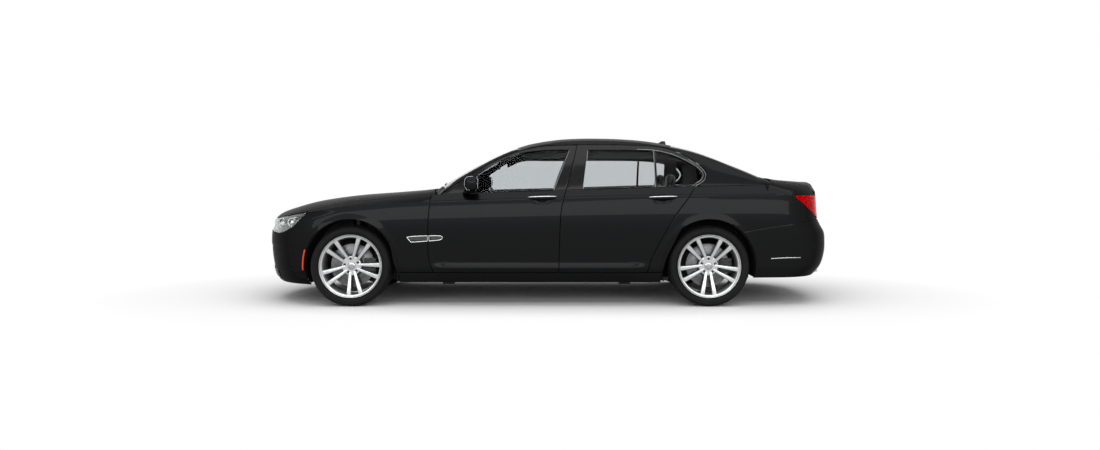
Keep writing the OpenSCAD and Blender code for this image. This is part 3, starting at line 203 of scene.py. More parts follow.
def side_y(x, z):
    """Half width of the body side."""
    return ((waist(x) - inset(x, z)) * rounding((x - nose_x(z)) / NOSE_ROUND, NOSE_POWER)
            * rounding((tail_x(z) - x) / TAIL_ROUND, TAIL_POWER))


def side_pt(q, out=0.0):
    x, z = q[..., 0], q[..., 1]
    return pts(x, -side_y(x, z) - arch_flare(x, z) - out, z)


def crease_y(x):
    return side_y(x, crease_z(x))


def cabin_y(x, z):
    b = belt_z(x)
    d = np.maximum(0, z - b)
    return side_y(x, b) - 4 - 0.40 * d - 0.0004 * d * d


def cabin_pt(q, out=0.0):
    x, z = q[..., 0], q[..., 1]
    return pts(x, -cabin_y(x, z) - out, z)


def crowned(x, y, centre, power):
    return centre - (centre - crease_z(x)) * np.clip(np.abs(y) / np.maximum(crease_y(x), 1), 0, 1) ** power


def bonnet_pt(q):
    x, y = q[..., 0], q[..., 1]
    return pts(x, y, crowned(x, y, bonnet_line(x), bonnet_power(x)))


def boot_pt(q):
    x, y = q[..., 0], q[..., 1]
    return pts(x, y, crowned(x, y, boot_line(x), boot_power(x)))


def cabin_top_z(x, y):
    return cabin_line(x) - ROOF_CROWN * (np.abs(y) / ROOF_HALF) ** 2.2


def cabin_top_pt(q):
    x, y = q[..., 0], q[..., 1]
    return pts(x, y, cabin_top_z(x, y))


def rail_y(x):
    """Half width where the cabin side meets the roof."""
    y = np.full(np.shape(x), float(ROOF_HALF))
    for _ in range(6):
        y = cabin_y(x, cabin_top_z(x, y))
    return y


def end_pt(q, end_x, depth, power, sign):
    """A point round the nose (sign 1) or the tail (sign -1): angle 0 in the middle, 90 where the side begins."""
    a, z = q[..., 0], q[..., 1]
    b = np.radians(np.minimum(np.abs(a), 90))
    x = end_x(z) + sign * (depth * (1 - np.cos(b) ** (2 / power)) + np.maximum(0, np.abs(a) - 90) * SIDE_PER_DEGREE)
    y = -np.sign(a) * ((waist(x) - inset(x, z)) * np.sin(b) ** (2 / power) + arch_flare(x, z))
    return pts(x, y, z)


def nose_pt(q):
    return end_pt(q, nose_x, NOSE_ROUND, NOSE_POWER, 1)


def tail_pt(q):
    return end_pt(q, tail_x, TAIL_ROUND, TAIL_POWER, -1)


def end_angle(q, end_x, depth, power, sign):
    d = sign * (q[..., 0] - end_x(q[..., 1]))
    a = np.degrees(np.arccos((1 - np.clip(d / depth, 0, 1)) ** (power / 2)))
    return pts(np.where(d >= depth, 90 + (d - depth) / SIDE_PER_DEGREE, a), q[..., 1])


def nose_angle(q):
    return end_angle(np.asarray(q, float), nose_x, NOSE_ROUND, NOSE_POWER, 1)


def tail_angle(q):
    return end_angle(np.asarray(q, float), tail_x, TAIL_ROUND, TAIL_POWER, -1)


def tail_angle_at_y(y, z):
    return np.degrees(np.arcsin((np.abs(y) / (waist(tail_x(z)) - inset(tail_x(z), z))) ** (TAIL_POWER / 2)))


def tail_at_y(y, z):
    return tail_pt(pts(-np.sign(y) * tail_angle_at_y(y, z), z))


inward = Line((0, 0), (40, 40), (65, 90), (70, 90))


def end_in(points, angles, d, sign):
    """Points round the nose or tail, moved d into the car."""
    b = np.sign(angles) * np.radians(inward(np.abs(angles)))
    return points + np.asarray(d)[..., None] * pts(sign * np.cos(b), np.sin(b), 0)


# Meshes: (points, faces) with points in millimetres

def grid_faces(m, n, start=0, wrap=False):
    cols = n if wrap else n - 1
    j, i = np.meshgrid(np.arange(m - 1), np.arange(cols), indexing="ij")
    k = (i + 1) % n
    quad = np.stack([j * n + i, j * n + k, (j + 1) * n + k, (j + 1) * n + i], -1).reshape(-1, 4) + start
    return quad.tolist()


def grid_mesh(grid, wrap=False):
    m, n = grid.shape[:2]
    return grid.reshape(-1, 3), grid_faces(m, n, wrap=wrap)


def slab(outer, inner):
    """A closed panel between an outer and an inner grid."""
    m, n = outer.shape[:2]
    count = m * n
    faces = grid_faces(m, n) + [f[::-1] for f in grid_faces(m, n, count)]
    ring = ([(0, i) for i in range(n)] + [(j, n - 1) for j in range(1, m)]
            + [(m - 1, i) for i in range(n - 2, -1, -1)] + [(j, 0) for j in range(m - 2, 0, -1)])
    loop = [j * n + i for j, i in ring]
    for a, b in zip(loop, loop[1:] + loop[:1]):
        faces.append([b, a, a + count, b + count])
    return np.concatenate([outer.reshape(-1, 3), inner.reshape(-1, 3)]), faces


def edge_steps(grid, axis, r):
    """Indices along a grid with two more rows at each end for a rounded edge, and their drops."""
    steps = np.linalg.norm(np.diff(grid, axis=axis), axis=-1).mean(axis=1 - axis)
    s = np.concatenate([[0], np.cumsum(steps)])
    inner = [v for v in s if 1.6 * r < v < s[-1] - 1.6 * r]
    at = [0, 0.3 * r, r] + inner + [s[-1] - r, s[-1] - 0.3 * r, s[-1]]
    drop = [r, 0.3 * r, 0] + [0] * len(inner) + [0, 0.3 * r, r]
    return np.interp(at, s, np.arange(len(s))), np.array(drop)


def panel(outer, inner, r=2.5):
    """A closed panel whose outer edges are rounded."""
    rows, drop_row = edge_steps(outer, 0, r)
    cols, drop_col = edge_steps(outer, 1, r)
    outer, inner = (resample(resample(g, rows, 0), cols, 1) for g in (outer, inner))
    n = normals(outer)
    n *= np.sign(np.sum(n * (outer - inner), -1, keepdims=True).mean())
    drop = np.maximum(drop_row[:, None], drop_col[None, :])[..., None]
    return slab(outer - n * drop, inner)


def inner_second(mesh):
    """Material numbers of a panel: 1 for its inner side, 0 for the rest."""
    count = len(mesh[0]) // 2
    return [int(min(f) >= count) for f in mesh[1]]


def join(*meshes):
    points, faces, start = [], [], 0
    for p, f in meshes:
        points.append(np.asarray(p, float).reshape(-1, 3))
        faces += [[v + start for v in face] for face in f]
        start += len(points[-1])
    return np.concatenate(points), faces


def mirrored(mesh):
    return mesh[0] * [1, -1, 1], [f[::-1] for f in mesh[1]]


def both(mesh):
    return join(mesh, mirrored(mesh))


def on_side(mesh, s):
    """A mesh of the left side, as it is (s -1) or on the right side (s 1)."""
    return mesh if s < 0 else mirrored(mesh)


def placed(mesh, at=(0, 0, 0), turn=None):
    p = mesh[0] if turn is None else mesh[0] @ np.asarray(turn).T
    return p + np.array(at, float), mesh[1]


def rotation(axis, degrees):
    c, s = math.cos(math.radians(degrees)), math.sin(math.radians(degrees))
    k = "xyz".index(axis)
    i, j = (k + 1) % 3, (k + 2) % 3
    m = np.eye(3)
    m[i, i], m[j, j], m[i, j], m[j, i] = c, c, -s, s
    return m


def lathe(profile, n=96, closed=False):
    """Revolves points (radius, along) about the Y axis, outboard towards -Y."""
    p = np.array(profile, float)
    a = np.linspace(0, 2 * np.pi, n, endpoint=False)
    grid = pts(p[:, None, 0] * np.cos(a), -p[:, None, 1], p[:, None, 0] * np.sin(a))
    if closed:
        grid = np.concatenate([grid, grid[:1]])
    return grid_mesh(grid, wrap=True)


def loft(sections, caps=True):
    """Joins closed loops of points into a skin."""
    grid = np.array(sections, float)
    points, faces = grid_mesh(grid, wrap=True)
    if caps:
        m, n = grid.shape[:2]
        faces = faces + [list(range(n))[::-1], [(m - 1) * n + i for i in range(n)]]
    return points, faces


def sweep(path, profile, up, width=1.0, height=1.0):
    """Sweeps a closed profile (side, up) along a path, stretched at each point by width and height."""
    p, q = np.asarray(path, float), np.array(profile, float)[None]
    t = np.gradient(p, axis=0)
    t /= np.linalg.norm(t, axis=1, keepdims=True)
    side = np.cross(t, np.array(up, float))
    side /= np.linalg.norm(side, axis=1, keepdims=True)
    top = np.cross(side, t)
    w, h = (np.broadcast_to(v, len(p))[:, None, None] for v in (width, height))
    return loft(p[:, None] + side[:, None] * (q[..., :1] * w) + top[:, None] * (q[..., 1:] * h))


def tube(path, r):
    a = np.linspace(0, 2 * np.pi, 10, endpoint=False)
    return sweep(path, pts(np.cos(a), np.sin(a)) * r, (0, 0.31, 0.95))


def oval(w, h, n=16, power=2.0):
    a = np.linspace(0, 2 * np.pi, n, endpoint=False)
    c, s = np.cos(a), np.sin(a)
    return np.stack([np.sign(v) * np.abs(v) ** (2 / power) * d / 2 for v, d in ((c, w), (s, h))], -1)


def block(size, at, r):
    """A box with rounded edges."""
    s = np.array(size, float)
    bm = bmesh.new()
    bmesh.ops.create_cube(bm, size=1)
    bmesh.ops.scale(bm, vec=s, verts=bm.verts)
    bmesh.ops.bevel(bm, geom=bm.edges, offset=min(r, s.min() * 0.45), segments=3, profile=0.5, affect="EDGES")
    bm.verts.index_update()
    mesh = np.array([v.co for v in bm.verts]), [[v.index for v in f.verts] for f in bm.faces]
    bm.free()
    return placed(mesh, at)


# Materials: procedural, in the object's own metres

# Noise values between which a change runs its full way
CLOUD = (0.3, 0.7)


def wire(tree, shader, values):
    """Sets a node's sockets, or links those whose value comes from another node."""
    for name, value in values.items():
        if isinstance(value, bpy.types.NodeSocket):
            tree.links.new(value, shader.inputs[name])
        else:
            shader.inputs[name].default_value = value


def new_material(name):
    mat = bpy.data.materials.new(name)
    mat.use_nodes = True
    tree = mat.node_tree
    return mat, tree, tree.nodes["Principled BSDF"]


def node(tree, kind, inputs=None, **settings):
    n = tree.nodes.new(kind)
    for k, v in settings.items():
        setattr(n, k, v)
    wire(tree, n, inputs or {})
    return n


def noise(tree, scale, detail=3.0):
    place = node(tree, "ShaderNodeTexCoord").outputs["Object"]
    return node(tree, "ShaderNodeTexNoise", {"Vector": place, "Scale": scale, "Detail": detail}).outputs["Fac"]


def cells(tree, scale):
    place = node(tree, "ShaderNodeTexCoord").outputs["Object"]
    return node(tree, "ShaderNodeTexVoronoi", {"Vector": place, "Scale": scale}).outputs["Distance"]


def between(tree, value, low, high, a=0.0, b=1.0):
    """Maps a value from low..high to a..b."""
    limits = {"From Min": low, "From Max": high, "To Min": a, "To Max": b}
    return node(tree, "ShaderNodeMapRange", {"Value": value, **limits}).outputs[0]


def clouds(tree, scale, detail, a=0.0, b=1.0):
    return between(tree, noise(tree, scale, detail), *CLOUD, a, b)


def tint(tree, fac, dark, light):
    n = node(tree, "ShaderNodeMix", {"Factor": fac}, data_type="RGBA")
    n.inputs["A"].default_value = (*dark, 1)
    n.inputs["B"].default_value = (*light, 1)
    return n.outputs["Result"]


def bump(tree, height, strength, distance):
    return node(tree, "ShaderNodeBump", {"Height": height, "Strength": strength, "Distance": distance}).outputs[0]


def paint_material():
    mat, tree, bsdf = new_material("metallic_paint")
    flakes = between(tree, cells(tree, 2600), 0.15, 0.7)
    wire(tree, bsdf, {
        "Base Color": tint(tree, flakes, (0.0042, 0.0044, 0.0048), (0.0073, 0.0076, 0.0081)),
        "Roughness": clouds(tree, 900, 3, 0.34, 0.46), "Normal": bump(tree, noise(tree, 260, 2), 0.02, 0.0004),
        "Specular Tint": (0.12, 0.12, 0.13, 1), "Metallic": 1.0,
        "Coat Weight": 0.13, "Coat Roughness": 0.015, "Coat IOR": 1.5})
    return mat


def surface_material(name, dark, light, rough, metal=0.0, grain=300.0, bumps=(), coat=0.0, scale=40.0, specular=0.5):
    """A plain material with cloudy colour, uneven gloss and a fine grain."""
    mat, tree, bsdf = new_material(name)
    fine = noise(tree, grain)
    wire(tree, bsdf, {"Base Color": tint(tree, clouds(tree, scale, 4), dark, light),
                      "Roughness": between(tree, fine, *CLOUD, *rough),
                      "Metallic": metal, "Specular IOR Level": specular})
    if coat:
        wire(tree, bsdf, {"Coat Weight": coat, "Coat Roughness": 0.03})
    if bumps:
        wire(tree, bsdf, {"Normal": bump(tree, fine, *bumps)})
    return mat


def glass_material(name, colour, rough=0.0, ior=1.12):
    mat, tree, bsdf = new_material(name)
    light = [min(1, c * 1.02) for c in colour]
    wire(tree, bsdf, {"Base Color": tint(tree, noise(tree, 30, 2), colour, light), "Roughness": rough,
                      "Transmission Weight": 1.0, "IOR": ior})
    return mat


def leather_material():
    mat, tree, bsdf = new_material("leather")
    pebble = between(tree, cells(tree, 420), 0.0, 0.55)
    wire(tree, bsdf, {
        "Base Color": tint(tree, clouds(tree, 14, 4), (0.012, 0.0115, 0.011), (0.022, 0.021, 0.02)),
        "Roughness": between(tree, pebble, 0, 1, 0.62, 0.44), "Normal": bump(tree, pebble, 0.25, 0.0008),
        "Sheen Weight": 0.08})
    return mat


def tyre_material():
    mat, tree, bsdf = new_material("tyre_rubber")
    wire(tree, bsdf, {
        "Base Color": tint(tree, clouds(tree, 18, 5), (0.0035, 0.0035, 0.0038), (0.0065, 0.0065, 0.0066)),
        "Roughness": clouds(tree, 140, 4, 0.5, 0.72), "Normal": bump(tree, noise(tree, 700), 0.12, 0.0006),
        "Specular IOR Level": 0.12})
    return mat


def grey(a, b, lift=0.0):
    """The dark and the light tone of a near-neutral grey, bluer by lift."""
    return (a, a, a + lift), (b, b, b + lift)


PAINT = paint_material()
BLACK = surface_material("gloss_black", *grey(0.004, 0.007, 0.0005), (0.10, 0.16), coat=0.08, specular=0.12)
PLASTIC = surface_material("black_plastic", *grey(0.006, 0.010, 0.0005), (0.45, 0.62), bumps=(0.15, 0.0006),
                           grain=800, specular=0.2)
CHROME = surface_material("chrome", (0.60, 0.61, 0.62), (0.68, 0.69, 0.70), (0.05, 0.11), metal=1.0)
ALLOY = surface_material("silver_alloy", (0.43, 0.435, 0.44), (0.50, 0.505, 0.51), (0.22, 0.32), metal=0.75,
                         coat=0.8, grain=1600)
RUBBER = surface_material("seal_rubber", *grey(0.006, 0.01), (0.6, 0.75), bumps=(0.1, 0.0005), grain=600,
                          specular=0.2)
TYRE = tyre_material()
GLASS = glass_material("tinted_glass", (0.695, 0.715, 0.725))
SCREEN = glass_material("screen_glass", (0.50, 0.52, 0.53))
CLEAR = glass_material("clear_lens", (0.97, 0.98, 0.98), ior=1.4)
RED_GLASS = glass_material("red_lens", (0.86, 0.010, 0.030), 0.04, 1.08)
RED_BODY = surface_material("red_reflector", (0.46, 0.002, 0.010), (0.62, 0.004, 0.016), (0.3, 0.45), scale=160,
                            specular=0.1)
DARK_RED = surface_material("dark_red_band", (0.05, 0.001, 0.0015), (0.09, 0.002, 0.003), (0.2, 0.3), scale=160,
                            specular=0.1)
LIGHT_RING = surface_material("light_ring", *grey(0.80, 0.86), (0.3, 0.4), coat=0.5, scale=300)
AMBER = surface_material("amber_reflector", (0.78, 0.045, 0.004), (0.90, 0.065, 0.007), (0.2, 0.3), scale=200,
                         specular=0.15)
LEATHER = leather_material()
CHASSIS = surface_material("underbody", (0.010, 0.010, 0.0105), (0.02, 0.02, 0.02), (0.6, 0.85), bumps=(0.3, 0.002),
                           grain=120)
STEEL = surface_material("steel", *grey(0.035, 0.06, 0.001), (0.35, 0.55), metal=1.0, grain=200, bumps=(0.1, 0.001))
CAST = surface_material("cast_metal", *grey(0.10, 0.17, 0.002), (0.5, 0.7), metal=0.9, grain=160,
                        bumps=(0.35, 0.0015))
DISC = surface_material("brake_disc", *grey(0.085, 0.13, 0.003), (0.28, 0.42), metal=1.0, grain=500)
DARK_CAST = surface_material("dark_casting", *grey(0.02, 0.035, 0.001), (0.4, 0.55), metal=0.6, grain=240,
                             bumps=(0.3, 0.001))
TRIM_DARK = surface_material("soft_trim", *grey(0.010, 0.018), (0.6, 0.8), bumps=(0.3, 0.0006), grain=900,
                             specular=0.2)
CARPET = surface_material("carpet", *grey(0.006, 0.014), (0.85, 0.98), bumps=(0.35, 0.0012), grain=900, specular=0.1)
HEADLINER = surface_material("headliner", (0.005, 0.005, 0.0049), (0.008, 0.008, 0.0078), (0.85, 0.95),
                             bumps=(0.3, 0.001), grain=900)
DARK_TRIM = surface_material("dark_chrome", (0.10, 0.102, 0.105), (0.15, 0.152, 0.155), (0.12, 0.2), metal=1.0,
                             grain=500)
SILVER_TRIM = surface_material("satin_trim", (0.30, 0.305, 0.31), (0.38, 0.385, 0.39), (0.2, 0.3), metal=1.0,
                               grain=500)


# Pieces; edges sharper than an angle in degrees are drawn sharp

SHARP, RIM_SHARP, SHELL_SHARP, SEAT_SHARP = 32, 28, 50, 60


def piece(name, mesh, materials, body, replaces=(), sharp=SHARP, index=None):
    """A finished object that rides on a body; index gives each face its material."""
    data = bpy.data.meshes.new(name)
    data.from_pydata(np.clip(mesh[0] * MM, *cad_box).tolist(), [], mesh[1])
    for m in materials if isinstance(materials, (list, tuple)) else [materials]:
        data.materials.append(m)
    if index is not None:
        data.polygons.foreach_set("material_index", np.asarray(index, np.int32))
    bm = bmesh.new()
    bm.from_mesh(data)
    bmesh.ops.remove_doubles(bm, verts=bm.verts, dist=2e-6)
    bmesh.ops.recalc_face_normals(bm, faces=bm.faces)
    bm.to_mesh(data)
    bm.free()
    data.shade_smooth()
    data.set_sharp_from_angle(angle=math.radians(sharp))
    obj = bpy.data.objects.new(name, data)
    bpy.context.scene.collection.objects.link(obj)
    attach(obj, body)
    if replaces:
        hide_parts(*replaces)
    return obj


# Edges that panels share, and the front wing; K is the number of grid steps in a stretch of an edge

K = 6
door_front_edge = Line((290, -962), (400, -998), (650, -1003), (880, -990), (955, -978))
door_mid_edge = Line((290, 112), (500, 116), (835, 134), (994, 172))
door_rear_edge = Line((290, 868), (414, 903), (529, 960), (750, 1085), (1027, 1286))
SKIN = 24
DOOR_T = 110
FOOT_Z = 290
FOOT_A = math.degrees(math.asin((AXLE_Z - FOOT_Z) / ARCH_R))
WING_JOINT_A, TAIL_JOINT_A = 131, 47
ROWS = 26
CREASE_AT_DOOR_Z, CREASE_AT_QUARTER_Z = 897.0, 955
LAMP_TIP_X = -2050.0
LAMP_CORNER = (-2174.0, 683.0)
lamp_rear = straight(LAMP_CORNER, (LAMP_TIP_X, crease_z(LAMP_TIP_X)), 3 * K)


def arch_path(axle, a0, a1, n):
    a = np.radians(np.linspace(a0, a1, n + 1))
    return pts(axle + ARCH_R * np.cos(a), AXLE_Z + ARCH_R * np.sin(a))


def edge_part(edge, z0, z1, n, dx=0):
    z = np.linspace(z0, z1, n + 1)
    return pts(edge(z) + dx, z)


bonnet_in = Line((-2150, 8), (-1900, 60), (-1600, 105), (-960, 118))


def bonnet_edge_y(x):
    return crease_y(x) - bonnet_in(x)


def shift(grid, y=0.0, z=0.0):
    return grid + np.array([0, y, z], float)


def wing_mesh():
    """The wing's side, and its top between the crease and the bonnet."""
    arch = arch_path(FRONT_AXLE, WING_JOINT_A, -FOOT_A, 10 * K)
    foot = straight(arch[-1], (door_front_edge(FOOT_Z) - GAP, FOOT_Z), 5 * K)
    low = chain(straight(LAMP_CORNER, arch[0], 3 * K), arch, foot)
    x = np.linspace(LAMP_TIP_X, door_front_edge(CREASE_AT_DOOR_Z) - GAP, 15 * K + 1)
    high = chain(lamp_rear, pts(x, crease_z(x)))
    side = coons(low, high, straight(low[0], high[0], ROWS),
                 edge_part(door_front_edge, low[-1, 1], high[-1, 1], ROWS, -GAP))
    top = []
    for t in np.linspace(0, 1, 9)[1:]:
        q = high.copy()
        behind = (q[:, 0] >= LAMP_TIP_X - 1)[:, None]
        over = bonnet_pt(pts(q[:, 0], -lerp(crease_y(q[:, 0]), bonnet_edge_y(q[:, 0]) + GAP, t)))
        top.append(np.where(behind, over, side_pt(q) + [0, 8 * t, 0]))
    top = np.array(top)
    outer = np.concatenate([side_pt(side), top])
    inner = np.concatenate([shift(side_pt(side), y=SKIN), shift(top, y=SKIN, z=-SKIN)])
    inner[:, -1, 0] -= 14
    return panel(outer, inner)


piece("wing_skins", both(wing_mesh()), PAINT, "body", ["front_wings"])


# Rear quarter

C_PILLAR_X, LID_FRONT_X, LID_HALF = 1900.0, 1990.0, 640.0
TAIL_LAMP_TIP_X = 2131.0
QUARTER_END = np.array((2395.0, 742.0))
LID_TAIL_HALF, LID_FOOT_HALF = 600.0, 560.0
tail_joint = smooth([arch_path(REAR_AXLE, TAIL_JOINT_A, 0, 1)[0], (2150, 715), QUARTER_END], 6 * K)


def quarter_mesh():
    """The quarter's side, and its top up to the belt and the boot lid."""
    arch = arch_path(REAR_AXLE, 180 + FOOT_A, TAIL_JOINT_A, 10 * K)
    low = chain(straight((door_rear_edge(FOOT_Z) + GAP, FOOT_Z), arch[0], 2 * K), arch, tail_joint)
    x = np.linspace(door_rear_edge(CREASE_AT_QUARTER_Z) + GAP, TAIL_LAMP_TIP_X, len(low))
    high = pts(x, crease_z(x))
    side = coons(low, high, edge_part(door_rear_edge, low[0, 1], high[0, 1], ROWS, GAP),
                 straight(QUARTER_END, high[-1], ROWS))
    top, inner_top = [], []
    for t in np.linspace(0, 1, 10)[1:]:
        x = high[:, 0].copy()
        x[0] = door_rear_edge(lerp(high[0, 1], belt_z(high[0, 0]), t)) + GAP
        x = np.maximum(x, lerp(x[0], high[-1, 0], np.linspace(0, 1, len(x))))
        low_pt = side_pt(pts(x, lerp(crease_z(x), belt_z(x), t)))
        lid_pt = boot_pt(pts(x, -lerp(crease_y(x), LID_HALF + GAP, t)))
        share = np.clip((x - C_PILLAR_X) / (LID_FRONT_X - C_PILLAR_X), 0, 1)[:, None]
        row = lerp(low_pt, lid_pt, share)
        top.append(row)
        inner_top.append(row + pts(0, SKIN, -SKIN * np.clip((x - C_PILLAR_X) / 80, 0, 1)))
    outer = np.concatenate([side_pt(side), np.array(top)])
    inner = np.concatenate([shift(side_pt(side), y=SKIN), np.array(inner_top)])
    inner[:, 0, 0] += 8
    return panel(outer, inner)


def lid_edge(u):
    y = u * LID_TAIL_HALF
    return boot_pt(pts(tail_at_y(y, 1000.0 + 0 * y)[..., 0] - 10, y))


def quarter_top_mesh():
    """The strip between the tail lamp and the boot lid."""
    n, m = 40, 12
    k = np.linspace(0, 1, n + 1)
    a0 = tail_angle((TAIL_LAMP_TIP_X, crease_z(TAIL_LAMP_TIP_X)))[0]
    a = lerp(a0, tail_angle_at_y(605.0, 940.0), k)
    x1 = lid_edge(np.array([-1.0]))[0, 0] - 4
    x = lerp(TAIL_LAMP_TIP_X, x1, k)
    b = tail_pt(pts(a, crease_z(TAIL_LAMP_TIP_X) - 8 * k))[:, :2]
    t = pts(x, -lerp(LID_HALF, LID_TAIL_HALF, (x - LID_FRONT_X) / (x1 - LID_FRONT_X)) - GAP - 0.3)
    reach = np.where(k > 0.999, 0.5, 1.0)[None, :, None] * np.linspace(0, 1, m + 1)[:, None, None]
    g = boot_pt(lerp(b[None], t[None], reach))
    return panel(g, shift(g, z=-22), 1.5)


piece("quarter_skins", both(join(quarter_mesh(), quarter_top_mesh())), PAINT, "body", ["rear_quarters"])


# Sills

def sill_mesh():
    x0, x1 = FRONT_AXLE + ARCH_R + GAP, REAR_AXLE - ARCH_R - GAP
    g = ruled(straight((x0, 200), (x1, 200), 60), straight((x0, 285), (x1, 285), 60), 10)
    inner = pts(g[..., 0], -740.0, g[..., 1])
    return panel(side_pt(g), inner, 3)


jacking_pads = [block((100, 70, 28), (x, -790, 198), 4) for x in (-841, 681)]
piece("sill_skins", both(join(sill_mesh(), *jacking_pads)), PAINT, "body", ["sills"])


# Doors

DOOR_COLS = 110
HANDLE_Z, HANDLE_X = 930, {"front": -30, "rear": 1000}


def door_grid(front, rear):
    """Rows that follow the sill edge, the crease and the belt, between two upright edges."""
    heights = [np.linspace(FOOT_Z, 322, 5), np.linspace(322, 336, 3)[1:], np.linspace(336, BAND_Z, 6)[1:]]
    rows = [(0.0, z) for z in np.concatenate(heights)]
    rows += [(1.0, t) for t in np.linspace(0, 1, 30)[1:]] + [(2.0, t) for t in np.linspace(0, 1, 8)[1:]]

    def level(row, x):
        kind, t = row
        if kind == 0:
            return t + 0 * x
        return lerp(BAND_Z, crease_z(x), t) if kind == 1 else lerp(crease_z(x), belt_z(x), t)

    grid = []
    for row in rows:
        ends = []
        for edge, dx in (front, rear):
            x = np.array(edge(600.0) + dx)
            for _ in range(25):
                x = edge(level(row, x)) + dx
            ends.append(float(x))
        x = np.linspace(*ends, DOOR_COLS + 1)
        grid.append(pts(x, level(row, x)))
    return np.array(grid)


def door_mesh(front, rear, rebate, handle_x):
    """A door with a dent behind its handle and, inside, a thin front edge, an armrest and a pocket."""
    g = side_pt(door_grid(front, rear))
    dent = ((g[..., 0] - handle_x) / 92) ** 2 + ((g[..., 2] - HANDLE_Z + 6) / 34) ** 2
    g[..., 1] += 15 * (1 - np.clip(dent, 0, 1)) ** 1.5
    inner = shrunk(g, 26)
    s = inner[..., 0] - g[:, :1, 0]
    depth = lerp(5.0, DOOR_T, ramp((s - rebate) / 14))
    z, within = inner[..., 2], ramp((s - 160) / 60)
    armrest = 34 * ramp((z - 660) / 25) * (1 - ramp((z - 735) / 25)) * within
    pocket = -18 * ramp((z - 350) / 20) * (1 - ramp((z - 520) / 30)) * within
    inner[..., 1] += np.where(depth > 60, depth + armrest + pocket, depth)
    return panel(g, inner)


front_frame = ([(-905, 948), (-600, 958)], [(-880, 968), (-600, 990)], [(-700, 1095), (-598, 1110)],
               [(-560, 1183), (-540, 1160)], [(-402, 1266), (-420, 1238)], [(-232, 1334), (-240, 1313)],
               [(-46, 1375), (-46, 1343)], [(130, 1386), (116, 1349)], [(272, 1388), (210, 1348)],
               [(222, 1180), (142, 1180)], [(172, 1000), (76, 1000)], [(160, 960), (66, 960)])
rear_frame = ([(167, 960), (312, 960)], [(178, 1000), (318, 1000)], [(228, 1180), (343, 1180)],
              [(278, 1391), (368, 1348)], [(480, 1391), (500, 1348)], [(700, 1388), (700, 1347)],
              [(962, 1376), (950, 1338)], [(1120, 1338), (1100, 1302)], [(1250, 1272), (1215, 1248)],
              [(1340, 1205), (1300, 1193)], [(1392, 1140), (1345, 1140)], [(1378, 1092), (1330, 1085)],
              [(1322, 1048), (1262, 1040)], [(1262, 1005), (1200, 1005)])


def frame_mesh(pairs, corners):
    """A window frame between its outer and inner edge, which are smooth between the corners."""
    outer, inner = (chain(*[smooth(edge[a:b + 1], 10 * (b - a)) for a, b in zip(corners, corners[1:])])
                    for edge in zip(*pairs))
    g = cabin_pt(np.array([lerp(outer, inner, t) for t in np.linspace(0, 1, 7)]))
    back = np.array([lerp(outer, inner, 0.5 + 0.5 * t) for t in np.linspace(0, 1, 7)])
    return panel(g, shift(cabin_pt(back), y=45), 1.5)


front_edges = ((door_front_edge, 0.0), (door_mid_edge, -GAP / 2))
rear_edges = ((door_mid_edge, GAP / 2), (door_rear_edge, 0.0))
DOORS = (("front", front_edges, 95, front_frame, (0, 8, 11)), ("rear", rear_edges, 112, rear_frame, (0, 3, 13)))
for side_name, s in SIDES:
    for end, edges, rebate, pairs, corners in DOORS:
        tag, body = f"{end}_{side_name}", f"{end}_{side_name}_door"
        mesh = on_side(door_mesh(*edges, rebate, HANDLE_X[end]), s)
        piece(f"door_skin_{tag}", mesh, [PAINT, TRIM_DARK], body, [f"door_{tag}"], index=inner_second(mesh))
        piece(f"window_frame_{tag}", on_side(frame_mesh(pairs, corners), s), BLACK, body)


# Glass in the doors

def pane_mesh(x0, x1, top, rear=()):
    top = smooth(top, 60)
    x = np.linspace(x0, x1, 61)
    low = pts(x, belt_z(x) - 1.7)
    right = smooth(rear, 24) if rear else straight(low[-1], top[-1], 24)
    g = shift(cabin_pt(coons(low, top, straight(low[0], top[0], 24), right)), y=9)
    return slab(g, shift(g, y=GLASS_T))


front_pane = pane_mesh(-599, 68, [(-597, 1109), (-540, 1158), (-420, 1236), (-240, 1311), (-46, 1341),
                                  (116, 1347), (205, 1346)])
rear_pane = pane_mesh(322, 1233, [(371, 1346), (500, 1346), (700, 1345), (949, 1336), (1099, 1300), (1213, 1246),
                                  (1297, 1190), (1341, 1140)],
                      [(1233, 1024), (1257, 1042), (1326, 1088), (1335, 1112), (1341, 1140)])
for side_name, s in SIDES:
    for end, mesh in (("front", front_pane), ("rear", rear_pane)):
        tag = f"{end}_{side_name}"
        piece(f"window_{tag}", on_side(mesh, s), GLASS, f"{tag}_door", [f"glass_{tag}"])


# Windscreen, rear window and roof

SCREEN_HALF, REAR_GLASS_HALF, RAIL_W = (785.0, 600.0), (590.0, 640.0), 75.0


def header_x(y):
    return -285 + 60 * (y / SCREEN_HALF[1]) ** 2


def rear_header_x(y):
    return 1165 - 60 * (y / REAR_GLASS_HALF[0]) ** 2


def screen_at(u, v):
    y = u * lerp(*SCREEN_HALF, v)
    return pts(lerp(-962 + 90 * (y / SCREEN_HALF[0]) ** 2, header_x(y), v), y)


def rear_glass_at(u, v):
    y = u * lerp(*REAR_GLASS_HALF, v)
    return pts(lerp(rear_header_x(y), 1935 - 55 * (y / REAR_GLASS_HALF[0]) ** 2, v), y)


def uv(m, n):
    return np.meshgrid(np.linspace(-1, 1, n + 1), np.linspace(0, 1, m + 1))


def roof_half_at(x):
    return rail_y(x) - RAIL_W


def roof_at(u, v):
    one = np.ones_like(v)
    edge = lerp(screen_at(one, one)[..., 0], rear_glass_at(one, 0 * one)[..., 0], v)
    y = u * roof_half_at(edge)
    return pts(lerp(header_x(y) + 1, rear_header_x(y) - 1, v), y)


